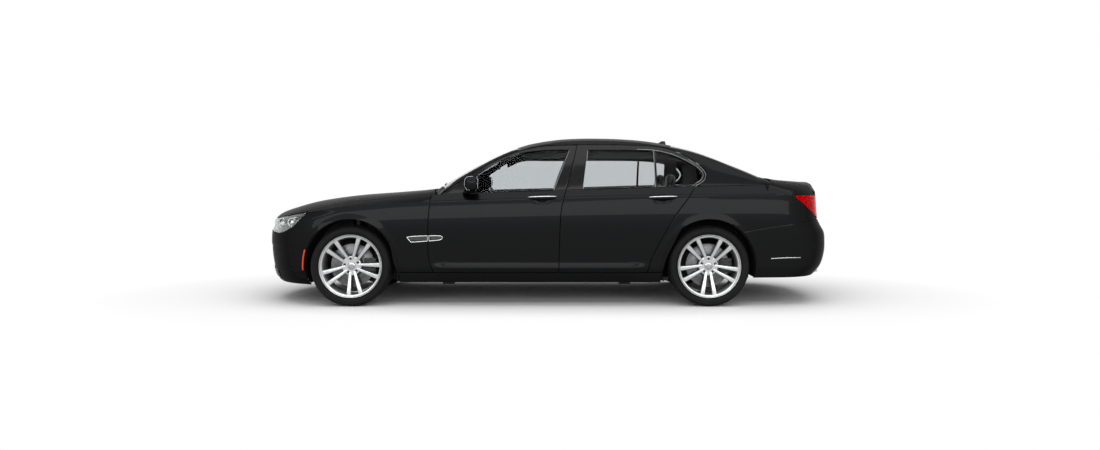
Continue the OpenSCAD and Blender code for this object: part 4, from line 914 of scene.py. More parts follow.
g = cabin_top_pt(screen_at(*uv(40, 60)))
piece("windscreen_glass", slab(g, shift(g, z=-GLASS_T)), SCREEN, "body", ["windscreen"])
g = cabin_top_pt(rear_glass_at(*uv(40, 60)))
piece("rear_window_glass", slab(g, shift(g, z=-GLASS_T)), GLASS, "body", ["rear_window"])
g = cabin_top_pt(roof_at(*uv(60, 50)))
mesh = panel(g, shift(g, z=-SKIN), 2)
piece("roof_skin", mesh, [PAINT, HEADLINER], "body", ["roof_panel"], index=inner_second(mesh))


# A-pillar, roof rail and C-pillar

rail_low = [(-868, 985), (-790, 1042), (-690, 1107), (-555, 1192), (-398, 1274), (-230, 1342), (-46, 1382), (150, 1394),
            (480, 1396), (700, 1394), (965, 1382), (1125, 1344), (1256, 1277), (1347, 1209), (1399, 1142), (1400, 1085)]


def rail_mesh():
    """A-pillar, roof rail and C-pillar, from the door frames and the belt up to the glass and the roof."""
    k, n = 8, 20
    last = len(rail_low) - 1
    t = np.linspace(0, last, last * k + 1)
    low = np.stack([Line(*enumerate(values))(t) for values in zip(*rail_low)], -1)
    stops = [low[-1]] + [(x, float(belt_z(x)) + SEAM) for x in (1401.0, 1480.0, 1640.0, 1790.0, 1876.0)]
    low = chain(low, *[straight(a, b, k) for a, b in zip(stops, stops[1:])])
    t = np.linspace(0, n, n * k + 1)
    one = np.ones_like(t)
    x = lerp(float(screen_at(1.0, 1.0)[0]), float(rear_glass_at(1.0, 0.0)[0]), (t - 5) / 6)
    high = np.where((t < 5)[:, None], screen_at(-one, np.clip(t / 5, 0, 1)) + [0, -1],
                    np.where((t <= 11)[:, None], pts(x, -roof_half_at(x) - 1),
                             rear_glass_at(-one, np.clip((t - 11) / (n - 11), 0, 1)) + [0, -1]))
    cx = lerp(low[:, 0], high[:, 0], 0.5)
    corner = pts(cx, -rail_y(cx))
    c = cabin_top_pt(corner)
    steps = np.linspace(0, 1, 9)
    outer = np.array([cabin_pt(lerp(low, c[:, [0, 2]], s)) for s in steps]
                     + [cabin_top_pt(lerp(corner, high, s)) for s in steps[1:]])
    for _ in range(10):
        outer[1:-1] = 0.5 * outer[1:-1] + 0.25 * (outer[:-2] + outer[2:])
    depth = np.interp(np.linspace(0, 1, len(outer)), [0, 0.5, 0.75, 1], [0, 1, 2, 3])
    moves = np.array([(0, 34, 0), (0, 34, -12), (0, 22, -28), (0, 0, -30)], float)
    inner = outer + np.stack([np.interp(depth, range(4), moves[:, d]) for d in range(3)], -1)[:, None]
    return panel(outer, inner, 1.5)


def pillar_corner_mesh():
    """The corner of the C-pillar behind the rear door."""
    low = chain(smooth([(1399, 1142), (1397, 1115), (1384, 1090)], 12),
                smooth([(1384, 1090), (1360, 1068), (1330, 1048)], 12),
                straight((1330, 1048), (1318, float(belt_z(1400.0)) + 1.2), 4))
    g = cabin_pt(ruled(low, pts(1401.0, low[:, 1]), 8))
    return panel(g, shift(g, y=34), 1.0)


POST_Y = 739


def pillar_mesh():
    """B-pillar behind the doors."""
    z = np.linspace(236, 1372, 40)
    grid = []
    for d in np.linspace(0, 1, 7):
        off = np.where(z > 900, lerp(-50, 45, d), lerp(-50, 116, d))
        x = door_mid_edge(np.minimum(z, 994)) + np.maximum(0, z - 994) * 0.25 + off
        low_y, sill_y = (np.minimum(side_y(x, level) - DOOR_T - 32, POST_Y) for level in (z, 800 + 0 * z))
        y = np.where(z > belt_z(x), np.minimum(cabin_y(x, z) - 59, sill_y), low_y)
        grid.append(pts(x, -y, z))
    g = np.array(grid)
    return panel(g, shift(g, y=46), 4)


def hinge_mesh(x, y, post_y):
    """Pins and leaves of a rear door's two hinges."""
    points, faces = lathe([(0, -47), (6, -47), (6, 47), (0, 47)], 32)
    parts = []
    for z in (500, 770):
        parts.append(placed((points[:, [0, 2, 1]], faces), (x, -y, z)))
        parts.append(block((12, y - post_y + 1, 60), (x, -(y + post_y - 1) / 2, z), 2))
    return join(*parts)


REAR_HINGE = (216.0, float(side_y(216.0, 500.0)) - 12)
piece("side_frames", both(join(rail_mesh(), pillar_corner_mesh())), PAINT, "body", ["upper_sides"])


# Section of the windscreen moulding: across, below the surface, share of its height
MOULDING = [(-36, -9, 0), (-26, 0, 0.42), (-16, 0, 0.78), (-7, 0, 0.98), (1, 0, 1), (6, 0, 0.8), (9, -3, 0),
            (-12, -12, 0)]


def screen_moulding_mesh():
    """Raised moulding along the side of the windscreen, sunk into pillar and glass."""
    v0, v1, high, fade = 0.06, 0.99, 14.0, 0.12
    sections = []
    for v in np.linspace(v0, v1, 70):
        x, y = screen_at(-1.0, v)
        rise = high * min(1.0, max(0.02, min(v - v0, v1 - v) / fade)) ** 0.5
        sections.append([(x, y + d, cabin_top_z(x, y + d) + sunk + share * rise) for d, sunk, share in MOULDING])
    return loft(sections)


piece("screen_mouldings", both(screen_moulding_mesh()), PAINT, "body")
piece("centre_pillars", both(join(pillar_mesh(), hinge_mesh(*REAR_HINGE, POST_Y))), TRIM_DARK, "body")


# Bonnet, cowl and boot lid

EYE_BORE_R = 6.1


def bonnet_at(u, v):
    y = u * bonnet_edge_y(lerp(-2420, -955, v))
    b = u * u
    return pts(lerp(lerp(-2500, -2420, b**0.8), lerp(-1035, -955, b), v), y)


def hinge_ear(at, length, tilt, r):
    """The eye round a hinge pin, with the arm that carries it."""
    eye = lathe([(EYE_BORE_R, -6), (r, -6), (r, 6), (EYE_BORE_R, 6)], 40, closed=True)
    arm = block((length, 12, 20), (length / 2 + 9 * np.sign(length), 0, -3), 2)
    return placed(join(eye, placed(arm, turn=rotation("y", tilt))), at)


g = bonnet_pt(bonnet_at(*uv(60, 60)))
skin = panel(g, shift(shrunk(g, 20), z=-22), 3)
ears = both(hinge_ear((-930, -660, 958), -122, 0, 13))
piece("bonnet_skin", join(skin, ears), PAINT, "bonnet", ["bonnet"])
u, v = np.meshgrid(np.linspace(-0.74, 0.74, 61), np.linspace(0, 1, 9))
g = lerp(bonnet_pt(bonnet_at(u, 1 + 0 * u)) + [14, 0, -18],
         cabin_top_pt(screen_at(u, 0 * u)) + [-1, 0, -1], v[..., None])
piece("cowl_cover", panel(g, shift(g, z=-40), 2), PLASTIC, "body", ["cowl"])


def lid_mesh():
    """The lid's top in the first n rows, its upright rear in the others."""
    n = 24
    u = np.linspace(-1, 1, 61)
    edge = lid_edge(u)
    rows = []
    for t in np.linspace(0, 0.94, n):
        x = lerp(LID_FRONT_X - 15 * u * u, edge[:, 0], t)
        rows.append(boot_pt(pts(x, u * lerp(LID_HALF, LID_TAIL_HALF, t))))
    for t in np.linspace(0, 1, n):
        rows.append(tail_at_y(u * lerp(LID_TAIL_HALF, LID_FOOT_HALF, t), lerp(edge[:, 2] - 10, 744.0, t)))
    outer = np.array(rows)
    inner = outer * [1, 0.965, 1]
    inner[:n] += [0, 0, -SKIN]
    inner[n:] += [-26, 0, 0]
    inner[n] += [2, 0, -20]
    inner[0, :, 0] += 20
    inner[-1, :, 2] += 14
    return panel(outer, inner, 3)


ears = both(hinge_ear((1975, -570, 1075), 84, 8, 12))
piece("boot_lid_skin", join(lid_mesh(), ears), PAINT, "boot_lid", ["boot_lid"])


# Bumpers

bumper_top = [(0, 512), (8, 512), (16, 512), (22, 512), (25, 640), (33, 632), (42, 622), (50, 620), (58, 640)]


def whole(grid):
    return np.concatenate([grid[:, :0:-1] * [-1, 1], grid], axis=1)


def polyline(points, k):
    p = np.array(points, float)
    return chain(*[straight(a, b, k) for a, b in zip(p, p[1:])])


def bumper_grid(top, low_z, rows, axle, sign, angle):
    """Angles and heights of a bumper, from its lower edge to its top and out to the wheel arch."""
    z = np.linspace(low_z, top[-1, 1], rows + 1)
    rim = angle(pts(axle + sign * np.sqrt(ARCH_R**2 - (z - AXLE_Z) ** 2), z))
    low = pts(np.linspace(0, rim[0, 0], len(top)), low_z)
    return whole(coons(low, top, straight(low[0], top[0], rows), rim))


def front_bumper_mesh():
    joint = straight(LAMP_CORNER, arch_path(FRONT_AXLE, WING_JOINT_A, 0, 1)[0], 3)
    top = polyline(np.concatenate([bumper_top, nose_angle(joint - [0, SEAM])]), K)
    g = bumper_grid(top, 172.0, 80, FRONT_AXLE, -1, nose_angle)
    a, z = g[..., 0], g[..., 1]
    step = ramp((513 - z) / 10) - ramp((307 - z) / 9) + ramp((284 - z) / 9)
    fade = np.clip((np.abs(a).max(1, keepdims=True) - np.abs(a)) / 5, 0, 1)
    outer = end_in(nose_pt(g), a, 5 * step * fade, 1)
    return panel(outer, end_in(outer, a, SKIN - 5, 1), 2)


def rear_bumper_mesh():
    drop = pts(0, SEAM + np.linspace(0, 1, len(tail_joint)))
    side = tail_angle(tail_joint - drop)[::-1]
    k = np.linspace(0, 1, 6 * K + 1)[:-1]
    top = np.concatenate([pts(side[0, 0] * k, lerp(714, 738, k**2)), side])
    g = bumper_grid(top, 240.0, 30, REAR_AXLE, 1, tail_angle)
    outer = tail_pt(g)
    return panel(outer, end_in(outer, g[..., 0], SKIN, -1), 2)


piece("front_bumper_skin", front_bumper_mesh(), PAINT, "body", ["front_bumper"])
piece("rear_bumper_skin", rear_bumper_mesh(), PAINT, "body", ["rear_bumper"])


# Wheels, built round the wheel's middle with the outer side towards -Y

WHEELS = (("front", FRONT_AXLE, 805.5, 28), ("rear", REAR_AXLE, 810.5, 37))
BOLT_R, BOLTS, SPOKE_PAIRS = 60, 5, 5
HUB_BACK = 24
tyre_side = [(258, 100.5), (272.6, 100.5), (274, 105), (278, 112), (286, 117), (296, 120.4), (299, 121.6),
             (301, 120.9), (308, 122.3), (318, 121.2), (321, 121.5), (323, 119.4), (329, 116), (335, 110),
             (340, 102.5), (343, 95), (344.4, 88)]
tyre_tread = [(344.7, 80), (344.8, 66), (338, 65), (338, 58), (344.9, 57), (345, 42), (345, 26), (338, 25),
              (338, 17), (345, 16)]


def tyre_mesh():
    """Tyre with grooves round it and sipes across its shoulders and its middle blocks."""
    n, every = 240, 5
    half = tyre_side + tyre_tread
    p = np.array(half + [(345, 0)] + [(r, -a) for r, a in half[::-1]], float)
    k = np.arange(n)
    r = np.repeat(p[:, :1], n, 1)
    along = np.abs(p[:, 1:])
    crown = p[:, :1] > 340
    r -= 4.5 * ((along > 65.5) & (along < 100) & crown & (k % every == 0))
    r -= 3.0 * ((along > 25.5) & (along < 57.5) & crown & ((k + 2) % every == 0))
    a = 2 * np.pi * k / n
    grid = pts(r * np.cos(a), -p[:, 1:], r * np.sin(a))
    return grid_mesh(np.concatenate([grid, grid[:1]]), wrap=True)


def spoke_mesh(side):
    t = np.linspace(0, 1, 16)
    r = lerp(50, 252, t)
    face = Line((50, 65), (100, 73), (150, 84), (200, 92), (252, 97))(r)
    sections = []
    for q, radius, f in zip(t, r, face):
        middle, w, back = side * lerp(18, 54, q), lerp(28, 45, q**1.3), max(f - lerp(42, 34, q), 46)
        outline = [(-w / 2 + 3, back), (-w / 2, f - 10), (-w / 2 + 5, f - 1.5), (0, f),
                   (w / 2 - 5, f - 1.5), (w / 2, f - 10), (w / 2 - 3, back)]
        sections.append([(middle + u, -a, radius) for u, a in outline])
    return loft(sections)


def hub_mesh():
    """Hub face with a pocket for each wheel bolt."""
    r, a = np.meshgrid(np.concatenate([[34], np.linspace(36, 86, 22)]),
                       np.linspace(0, 2 * np.pi, 180, endpoint=False), indexing="ij")
    bolt = np.radians(54 + 360 // BOLTS * np.arange(BOLTS))
    d = np.min(np.hypot(r[..., None] * np.cos(a)[..., None] - BOLT_R * np.cos(bolt),
                        r[..., None] * np.sin(a)[..., None] - BOLT_R * np.sin(bolt)), axis=-1)
    along = 64 - 8 * np.clip((r - 76) / 10, 0, 1) ** 2 - 20 * (1 - ramp((d - 10) / 2.5))
    front = pts(r * np.cos(a), -along, r * np.sin(a))
    skirt, back = (row * [1, 0, 1] + [0, -HUB_BACK, 0] for row in (front[-1:], front[:1]))
    return grid_mesh(np.concatenate([front, skirt, back, front[:1]]), wrap=True)


def around(mesh, count, start=0.0):
    return join(*[placed(mesh, turn=rotation("y", start - 360 / count * k)) for k in range(count)])


def rim_mesh():
    barrel = lathe([(257.7, -100.8), (271.6, -100.8), (271.6, -111), (268, -114.2), (254, -113), (248, -104),
                    (234, -40), (236, 40), (242, 84), (245.5, 95), (250, 100), (257, 101.5), (262, 106),
                    (266, 112.5), (269, 114.2), (271.6, 111.5), (271.6, 100.8), (257.7, 100.8)], 160, closed=True)
    return join(barrel, around(join(spoke_mesh(-1), spoke_mesh(1)), SPOKE_PAIRS), hub_mesh())


def bolts_mesh():
    head = placed(lathe([(0, 53), (6.5, 53), (8, 51), (8, 42)], 6), (0, 0, BOLT_R))
    return around(head, BOLTS, 36)


def disc_mesh():
    """Vented rotor, and the hat that carries it."""
    ring = [(96, -12), (140, -12), (141, -11.4), (186, -12), (187, -11), (187, -5), (186, -4.5), (96, -4.5)]
    plates = [lathe([(r, s * a) for r, a in ring], 120, closed=True) for s in (1, -1)]
    vane = block((3.5, 9, 84), (0, 0, 141), 1)
    hat = lathe([(22.1, -40), (47, -40), (48, -39), (48, -12.5), (97, -12.5), (97, 12), (90, 13), (87, 22),
                 (36, 22), (35.5, 45), (34, 46), (1, 46), (1, 21), (22.1, 21)], 96, closed=True)
    return join(*plates, around(vane, 36)), hat


def caliper_mesh():
    shell = block((104, 14, 126), (155, -29, 0), 9)
    ribs = [block((92, 7, 30), (155, -35, z), 3) for z in (38, -38)]
    pistons = [placed(lathe([(0, 40), (20, 40), (23, 37), (23, 22)], 40), (150, 0, z)) for z in (-30, 30)]
    return join(shell, *ribs, *pistons)


rotor, hat = disc_mesh()
tyre, caliper = tyre_mesh(), caliper_mesh()
cap = lathe([(0, 71), (16, 70.6), (27, 69.2), (32, 66.5), (33.8, 62), (33.8, 40)], 72)
for end, axle, half_track, turn in WHEELS:
    rim, bolts = (placed(mesh, turn=rotation("y", turn)) for mesh in (rim_mesh(), bolts_mesh()))
    wheel_parts = (("tyre_tread", tyre, TYRE, "tyre", "tyre"), ("wheel_rim", rim, ALLOY, "alloy", "rim"),
                   ("wheel_cap", cap, SILVER_TRIM, "alloy", ""), ("wheel_bolts", bolts, DARK_CAST, "steel", ""),
                   ("disc_rotor", rotor, DISC, "disc", "disc"), ("disc_hat", hat, DARK_CAST, "disc", ""),
                   ("caliper_cover", caliper, DARK_CAST, "carrier", ""))
    for side_name, s in SIDES:
        tag, at = f"{end}_{side_name}", (axle, s * half_track, AXLE_Z)
        carrier = f"{side_name}_knuckle" if end == "front" else "body"
        for name, mesh, mat, slot, stands_for in wheel_parts:
            piece(f"{name}_{tag}", placed(on_side(mesh, s), at), mat,
                  carrier if name == "caliper_cover" else f"{tag}_wheel",
                  [f"{stands_for}_{tag}"] if stands_for else (), sharp=RIM_SHARP if name == "wheel_rim" else SHARP)


# Wheel-arch liners

def liner_mesh(axle, a0, a1):
    """Ribbed liner inside a wheel arch."""
    a = np.radians(np.linspace(a0, a1, 61))
    r = ARCH_R - 2
    x, z = axle + r * np.cos(a), AXLE_Z + r * np.sin(a)
    g = np.array([pts(x, -lerp(side_y(x, z) - 30, 570.0, t), z) for t in np.linspace(0, 1, 9)])
    rib = np.sin(np.linspace(0, 30 * np.pi, 61))[None, :, None]
    away = pts(np.cos(a), 0, np.sin(a))[None]
    return slab(g + away * rib, g + away * 5)


liners = join(liner_mesh(FRONT_AXLE, -20, 203), liner_mesh(REAR_AXLE, -14, 200))
piece("arch_liners", both(liners), PLASTIC, "body")


# Door handles, mirrors and the trim that rides on the doors

def bar(path, width, height, up=(0, 0, 1)):
    """A bar along a path whose oval section changes: width across the path, height along up."""
    return sweep(path, oval(1, 1, 20, 2.6), up, width, height)


def handle_meshes(hx):
    """Grip on its two posts, and the strip along its upper edge."""
    x = np.linspace(hx - 120, hx + 120, 41)
    t = (x - hx) / 120
    end = 1 - np.abs(t) ** 3.5
    out = side_y(x, np.full_like(x, HANDLE_Z)) + 4 + 10 * end
    grip = bar(pts(x, -out, HANDLE_Z + 2 + 3 * t), 5 + 8 * end, 9 + 15 * end)
    top = bar(pts(x, -out - 2, HANDLE_Z + 9.5 + 3 * t + 3 * end), 3.5 + 6 * end, 2.5 + 5 * end)
    posts = [block((26, 22, 16), (px, -float(side_y(px, HANDLE_Z)) - 2, HANDLE_Z + 1), 5) for px in (hx - 92, hx + 92)]
    return join(grip, *posts), top


def strip(path, width, height, out=(0.0, -1.0, 0.2)):
    """A flat strip that lies along a path on the side."""
    return sweep(path, oval(width, height, 12, 3.2), out)


def cabin_path(points, n, out=0.0):
    return cabin_pt(smooth(points, n), out)


belt_front = cabin_path([(x, float(belt_z(x)) + 2) for x in (-596, -400, -200, 0, 64)], 60, 1.0)
belt_rear = cabin_path([(x, float(belt_z(x)) + 2) for x in (325, 600, 900, 1230)], 60, 1.0)
front_trim = [cabin_path([(70, 1000), (140, 1180), (203, 1340)], 30, 1.2)]
rear_trim = [cabin_path([(322, 1003), (347, 1180), (369, 1342)], 30, 1.2),
             cabin_path([(1258, 1034), (1300, 1058), (1340, 1086), (1356, 1112), (1358, 1142), (1338, 1172),
                         (1310, 1198), (1222, 1254), (1104, 1308), (952, 1344), (800, 1353)], 120, 1.2),
             cabin_path([(1285, 1030), (1330, 1056), (1368, 1088), (1379, 1112), (1381, 1142), (1360, 1176),
                         (1330, 1203), (1240, 1266)], 90, 0.8)]
divider_z = np.linspace(1016, 1341, 24)
divider_edge = cabin_pt(pts(943.0, divider_z), 1.4)
MIRROR_ROWS, MIRROR_COLS = 30, 40


def divider_mesh():
    g = np.array([cabin_pt(pts(x, divider_z)) for x in (941, 946, 956, 961)])
    return panel(shift(g, y=-0.4), shift(g, y=8), 1.2)


def mirror_mesh():
    u = np.linspace(0, 1, MIRROR_ROWS)[:, None]
    fullness = (1 - np.clip((u - 0.55) / 0.45, 0, 1) ** 3.2) ** (1 / 3.2)
    inner = 0.80 + 0.20 * ramp(u / 0.25)
    half_x, half_z = 57 * fullness**0.7 * inner + 2, 62 * fullness * inner + 2
    ox, oz = oval(2, 2, MIRROR_COLS, 3.0).T
    return loft(pts(-638 + 16 * u**2 + ox * half_x * np.where(ox < 0, 1.05, 0.92),
                    -lerp(893, 1051, u), 1050 + 6 * u + oz * half_z))


def mirror_glass_mesh():
    y, z = oval(2, 2, 48, 3.6).T
    rings = ((-584, 1.0), (-580.5, 1.0), (-579.5, 0.97))
    return loft([pts(x, -972 + y * 62 * f, 1052 + z * 46 * f) for x, f in rings])


def mirror_foot_mesh():
    path = smooth([(-688, -880, 974), (-680, -905, 980), (-668, -930, 992), (-660, -950, 1004)], 14)
    return bar(path, np.linspace(62, 74, 15), np.linspace(18, 26, 15), up=(0.0, -0.35, 0.94))


def mirror_strip():
    """A strip at mid height round the shell's outer end, and one along its front edge."""
    rows = mirror_mesh()[0].reshape(MIRROR_ROWS, MIRROR_COLS, 3)
    front, back = rows[:, MIRROR_COLS // 2], rows[:, 0]
    low = np.concatenate([front[10:28:3], back[27:16:-3]]) - [0, 0, 6]
    edge = rows[25, 9:30] + (rows[25, 9:30] - rows[25].mean(0)) * 0.01
    return join(strip(smooth(low, 60), 4, 9, (-0.2, -1, 0.05)), strip(edge, 3, 5, (0, -1, 0.01)))


door_trim = {"front": (belt_front, front_trim), "rear": (belt_rear, rear_trim + [divider_edge])}
for side_name, s in SIDES:
    for end, (belt, lines) in door_trim.items():
        tag, body = f"{end}_{side_name}", f"{end}_{side_name}_door"
        grip, top = handle_meshes(HANDLE_X[end])
        trim = join(*[strip(p, 2.4, 3.6) for p in lines])
        piece(f"handle_grip_{tag}", on_side(grip, s), PAINT, body)
        piece(f"handle_strip_{tag}", on_side(top, s), CHROME, body)
        piece(f"belt_seal_{tag}", on_side(strip(belt, 4, 9), s), RUBBER, body)
        piece(f"window_trim_{tag}", on_side(trim, s), SILVER_TRIM, body)
    piece(f"window_divider_{side_name}", on_side(divider_mesh(), s), BLACK, f"rear_{side_name}_door")
    body, stands_for = f"front_{side_name}_door", [f"mirror_{side_name}"]
    piece(f"mirror_shell_{side_name}", on_side(mirror_mesh(), s), PAINT, body, stands_for, sharp=SHELL_SHARP)
    piece(f"mirror_glass_{side_name}", on_side(mirror_glass_mesh(), s), CHROME, body)
    piece(f"mirror_foot_{side_name}", on_side(mirror_foot_mesh(), s), PLASTIC, body)
    piece(f"mirror_indicator_{side_name}", on_side(mirror_strip(), s), SILVER_TRIM, body)


# Side vents, markers and strips on the body

vent_wing = [(-1185, 594), (-1150, 601), (-1080, 605), (-1010, 607), (-1010, 562), (-1080, 557), (-1148, 552),
             (-1168, 572)]
vent_door = [(-996, 607), (-930, 608), (-895, 606), (-881, 597), (-886, 581), (-905, 571), (-950, 566), (-996, 563)]
STREAK_X = (1934, 2196)


def closed_path(points, n):
    p = np.array(points + points[:1], float)
    c = lengths(p)
    t = np.linspace(0, c[-1], n, endpoint=False)
    return np.stack([np.interp(t, c, p[:, d]) for d in (0, 1)], -1)


def vent_meshes(points):
    """Frame, back and fins of a vent in the side."""
    q = closed_path(points, 90)
    p = side_pt(q, 1.5)
    t = np.roll(p, -1, 0) - np.roll(p, 1, 0)
    t /= np.linalg.norm(t, axis=1, keepdims=True)
    out = np.array([0.0, -1.0, 0.0])
    across = np.cross(t, out)
    o = oval(5.5, 5, 10, 2.6)
    ring = p[:, None] + across[:, None] * o[None, :, :1] + out * o[None, :, 1:]
    mid = q.mean(0)
    back = np.array([side_pt(mid + (q - mid) * f, 0.8) for f in (0.98, 0.7, 0.35, 0.02)])
    fins = []
    for z in (572, 580, 588, 596):
        inside = q[np.abs(q[:, 1] - z) < 6][:, 0]
        x = np.linspace(inside.min() + 16, inside.max() - 10, 20)
        fins.append(strip(side_pt(pts(x, z), 1.6), 2, 2.4))
    return grid_mesh(np.concatenate([ring, ring[:1]]), wrap=True), grid_mesh(back, wrap=True), join(*fins)


for place, points in (("wing", vent_wing), ("door", vent_door)):
    ring, back, fins = vent_meshes(points)
    for side_name, s in SIDES:
        tag, body = f"{place}_{side_name}", "body" if place == "wing" else f"front_{side_name}_door"
        piece(f"vent_frame_{tag}", on_side(ring, s), CHROME, body)
        piece(f"vent_back_{tag}", on_side(back, s), PLASTIC, body)
        piece(f"vent_fins_{tag}", on_side(fins, s), DARK_TRIM, body)

marker = side_pt(smooth([(-2096, 308), (-2091, 370), (-2081, 430), (-2066, 486)], 30), 1.0)
piece("side_markers", both(strip(marker, 17, 5, (-0.55, -0.83, 0))), AMBER, "body")
x = np.linspace(*STREAK_X, 50)
wave = np.sin((x - STREAK_X[0]) / (STREAK_X[1] - STREAK_X[0]) * 2.2)
piece("bumper_strips", both(strip(side_pt(pts(x, 408 + 7 * wave), 0.6), 7, 3)), SILVER_TRIM, "body")


# Headlamps and tail lamps

NOSE, TAIL = (nose_pt, 1), (tail_pt, -1)


def facing(a):
    """Turn that faces a revolved shape out of the nose at angle a."""
    return rotation("z", float(inward(a)) - 90)


def nose_spot(a, z, d):
    q = np.array([a, z], float)
    return end_in(nose_pt(q), q[0], d, 1)


def at_depth(end, g, d, drop=0.0):
    """A grid of the nose or tail, moved d into the car and lowered towards its last row."""
    point, sign = end
    p = end_in(point(g), g[..., 0], d, sign)
    return p - np.array([0, 0, 1.0]) * drop * np.linspace(0, 1, len(g))[:, None, None]


def headlamp_grid():
    edge = straight(LAMP_CORNER, (LAMP_TIP_X, crease_z(LAMP_TIP_X)), 3)
    rear = nose_angle(edge + ([[-SEAM, SEAM]] * 3 + [[-22, -9]]))
    lower = polyline(np.concatenate([np.array(bumper_top[4:]) + [0, SEAM], rear]), 6)
    x = np.linspace(-2462, LAMP_TIP_X - 14, len(lower))
    return ruled(lower, nose_angle(pts(x, crease_z(x) - 4)), 16)


lamp = headlamp_grid()
lens = panel(at_depth(NOSE, lamp, 0), at_depth(NOSE, lamp, 3, 3), 1.5)
shell = slab(at_depth(NOSE, lamp, 24, 24), at_depth(NOSE, lamp, 31, 31))
brow = slab(at_depth(NOSE, lamp[11:], 7, 8), at_depth(NOSE, lamp[11:], 20, 20))
optics, rings, bulbs = [], [], []
for a, z, r in ((34, 700, 30), (48, 706, 36), (62, 716, 30)):
    at, turn, eye = nose_spot(a, z, 27), facing(a), r - 9
    bowl = lathe([(0, 1), (eye, 1), (r - 5, 8), (r - 4, 16), (r - 1, 17), (r, 15), (r, 0)], 48)
    ring = lathe([(r + 1, 9), (r + 5, 15), (r + 8, 14), (r + 8, 9)], 48, closed=True)
    bulb = lathe([(0, 14), (eye * 0.5, 12.5), (eye * 0.85, 8), (eye, 3)], 40)
    for meshes, mesh in ((optics, bowl), (rings, ring), (bulbs, bulb)):
        meshes.append(placed(mesh, at, turn))
piece("headlamp_lenses", both(lens), CLEAR, "body", ["headlamps"])
piece("headlamp_shells", both(shell), DARK_TRIM, "body")
piece("headlamp_brows", both(brow), PLASTIC, "body")
piece("headlamp_projectors", both(join(*optics)), SILVER_TRIM, "body")
piece("headlamp_rings", both(join(*rings)), LIGHT_RING, "body")
piece("headlamp_bulb_lenses", both(join(*bulbs)), CHROME, "body")


def lid_side_y(z):
    return lerp(LID_FOOT_HALF, LID_TAIL_HALF, np.clip((z - 738) / 260, 0, 1))


def tail_lamp_grid():
    a_low, a_high = (float(tail_angle_at_y(lid_side_y(z) + GAP, z)) for z in (745.0, 925.0))
    tip_z = float(crease_z(TAIL_LAMP_TIP_X))
    side = tail_angle(straight(QUARTER_END, (TAIL_LAMP_TIP_X, tip_z), 6) + (SEAM + 0.4))
    inner = [(lerp(a_low, float(tail_angle(QUARTER_END)[0]), k / 4), QUARTER_END[1] + 6) for k in range(4)]
    lower = polyline(np.concatenate([inner, side]), 5)
    t = np.linspace(0, 1, len(lower))
    return ruled(lower, pts(lerp(a_high, lower[-1, 0] - 1, t), tip_z - 2 - 6 * (1 - t)), 18)


tail = tail_lamp_grid()
lens = panel(at_depth(TAIL, tail, -2.6), at_depth(TAIL, tail, -1.5), 1)
body = panel(at_depth(TAIL, tail, -0.5), at_depth(TAIL, tail, 12, 12), 0.5)
bands = [slab(at_depth(TAIL, tail[k:k + 2], -1.2), at_depth(TAIL, tail[k:k + 2], 2)) for k in (3, 7, 11, 15)]
back_index = np.tile(inner_second(body), 2)
piece("tail_lamp_lenses", both(lens), RED_GLASS, "body", ["tail_lamps"])
piece("tail_lamp_reflectors", both(body), [RED_BODY, PLASTIC], "body", index=back_index)
piece("tail_lamp_bands", both(join(*bands)), DARK_RED, "body")


# Grille, intakes, diffuser and exhaust finishers

GRILLE_A, GRILLE_Z0, GRILLE_Z1, GRILLE_BAR = 21.9, 512.8, 690.0, 15
INTAKES = ((-24, 24), (28, 40), (-40, -28))
SENSOR_X, SENSOR_Z = 2319, 493


def end_patch(end, angles, heights, depths, r=2.0, m=4, n=40):
    """A plate on the nose or tail between two angles, two heights and two depths."""
    g = np.stack(np.meshgrid(np.linspace(*angles, n), np.linspace(*heights, m)), -1)
    return panel(*[at_depth(end, g, d) for d in depths], r)


frame_bars = [end_patch(NOSE, (-GRILLE_A, GRILLE_A), (z, z + GRILLE_BAR), (0, 44), 4)
              for z in (GRILLE_Z0, GRILLE_Z1 - GRILLE_BAR)]
frame_bars += [end_patch(NOSE, (s * GRILLE_A, s * (GRILLE_A - 1.1)), (GRILLE_Z0 + 6, GRILLE_Z1 - 6), (0, 44), 3, 12, 6)
               for s in (-1, 1)]
slats = [end_patch(NOSE, (-GRILLE_A + 1, GRILLE_A - 1), (z - 3.5, z + 3.5), (12, 34))
         for z in np.linspace(GRILLE_Z0, GRILLE_Z1, 9)[1:-1]]
fillers = [end_patch(NOSE, (-26.5, 26.5), (GRILLE_Z1 - 2, 733), (9, 15))]
fillers += [end_patch(NOSE, (s * GRILLE_A, s * 24.7), (GRILLE_Z0 + 2, GRILLE_Z1), (12, 16), 1, 12, 6) for s in (-1, 1)]
backing = end_patch(NOSE, (-GRILLE_A + 0.6, GRILLE_A - 0.6), (GRILLE_Z0 + 4, GRILLE_Z1 - 4), (45, 49))
piece("grille_frame", join(*frame_bars), CHROME, "body", ["grille"])
piece("grille_slats", join(*slats), SILVER_TRIM, "body")
piece("nose_panel", join(*fillers), PAINT, "body")
piece("grille_backing", backing, PLASTIC, "body")

intakes = [end_patch(NOSE, span, (212, 300), (-1.2, 6), 3) for span in INTAKES]
bars = [end_patch(NOSE, (a0 + 0.6, a1 - 0.6), (z - 3, z + 3), (-4, 2)) for a0, a1 in INTAKES for z in (234, 256, 278)]
fins = [end_patch(TAIL, (a - 0.35, a + 0.35), (250, 312), (-5, 2), 1.5, 6, 4) for a in (-14, -7, 0, 7, 14)]
piece("front_intakes", join(*intakes), PLASTIC, "body")
piece("front_intake_bars", join(*bars), BLACK, "body")
piece("rear_diffuser", end_patch(TAIL, (-34, 34), (246, 318), (-1.2, 6), 3), PLASTIC, "body")
piece("rear_diffuser_fins", join(*fins), BLACK, "body")


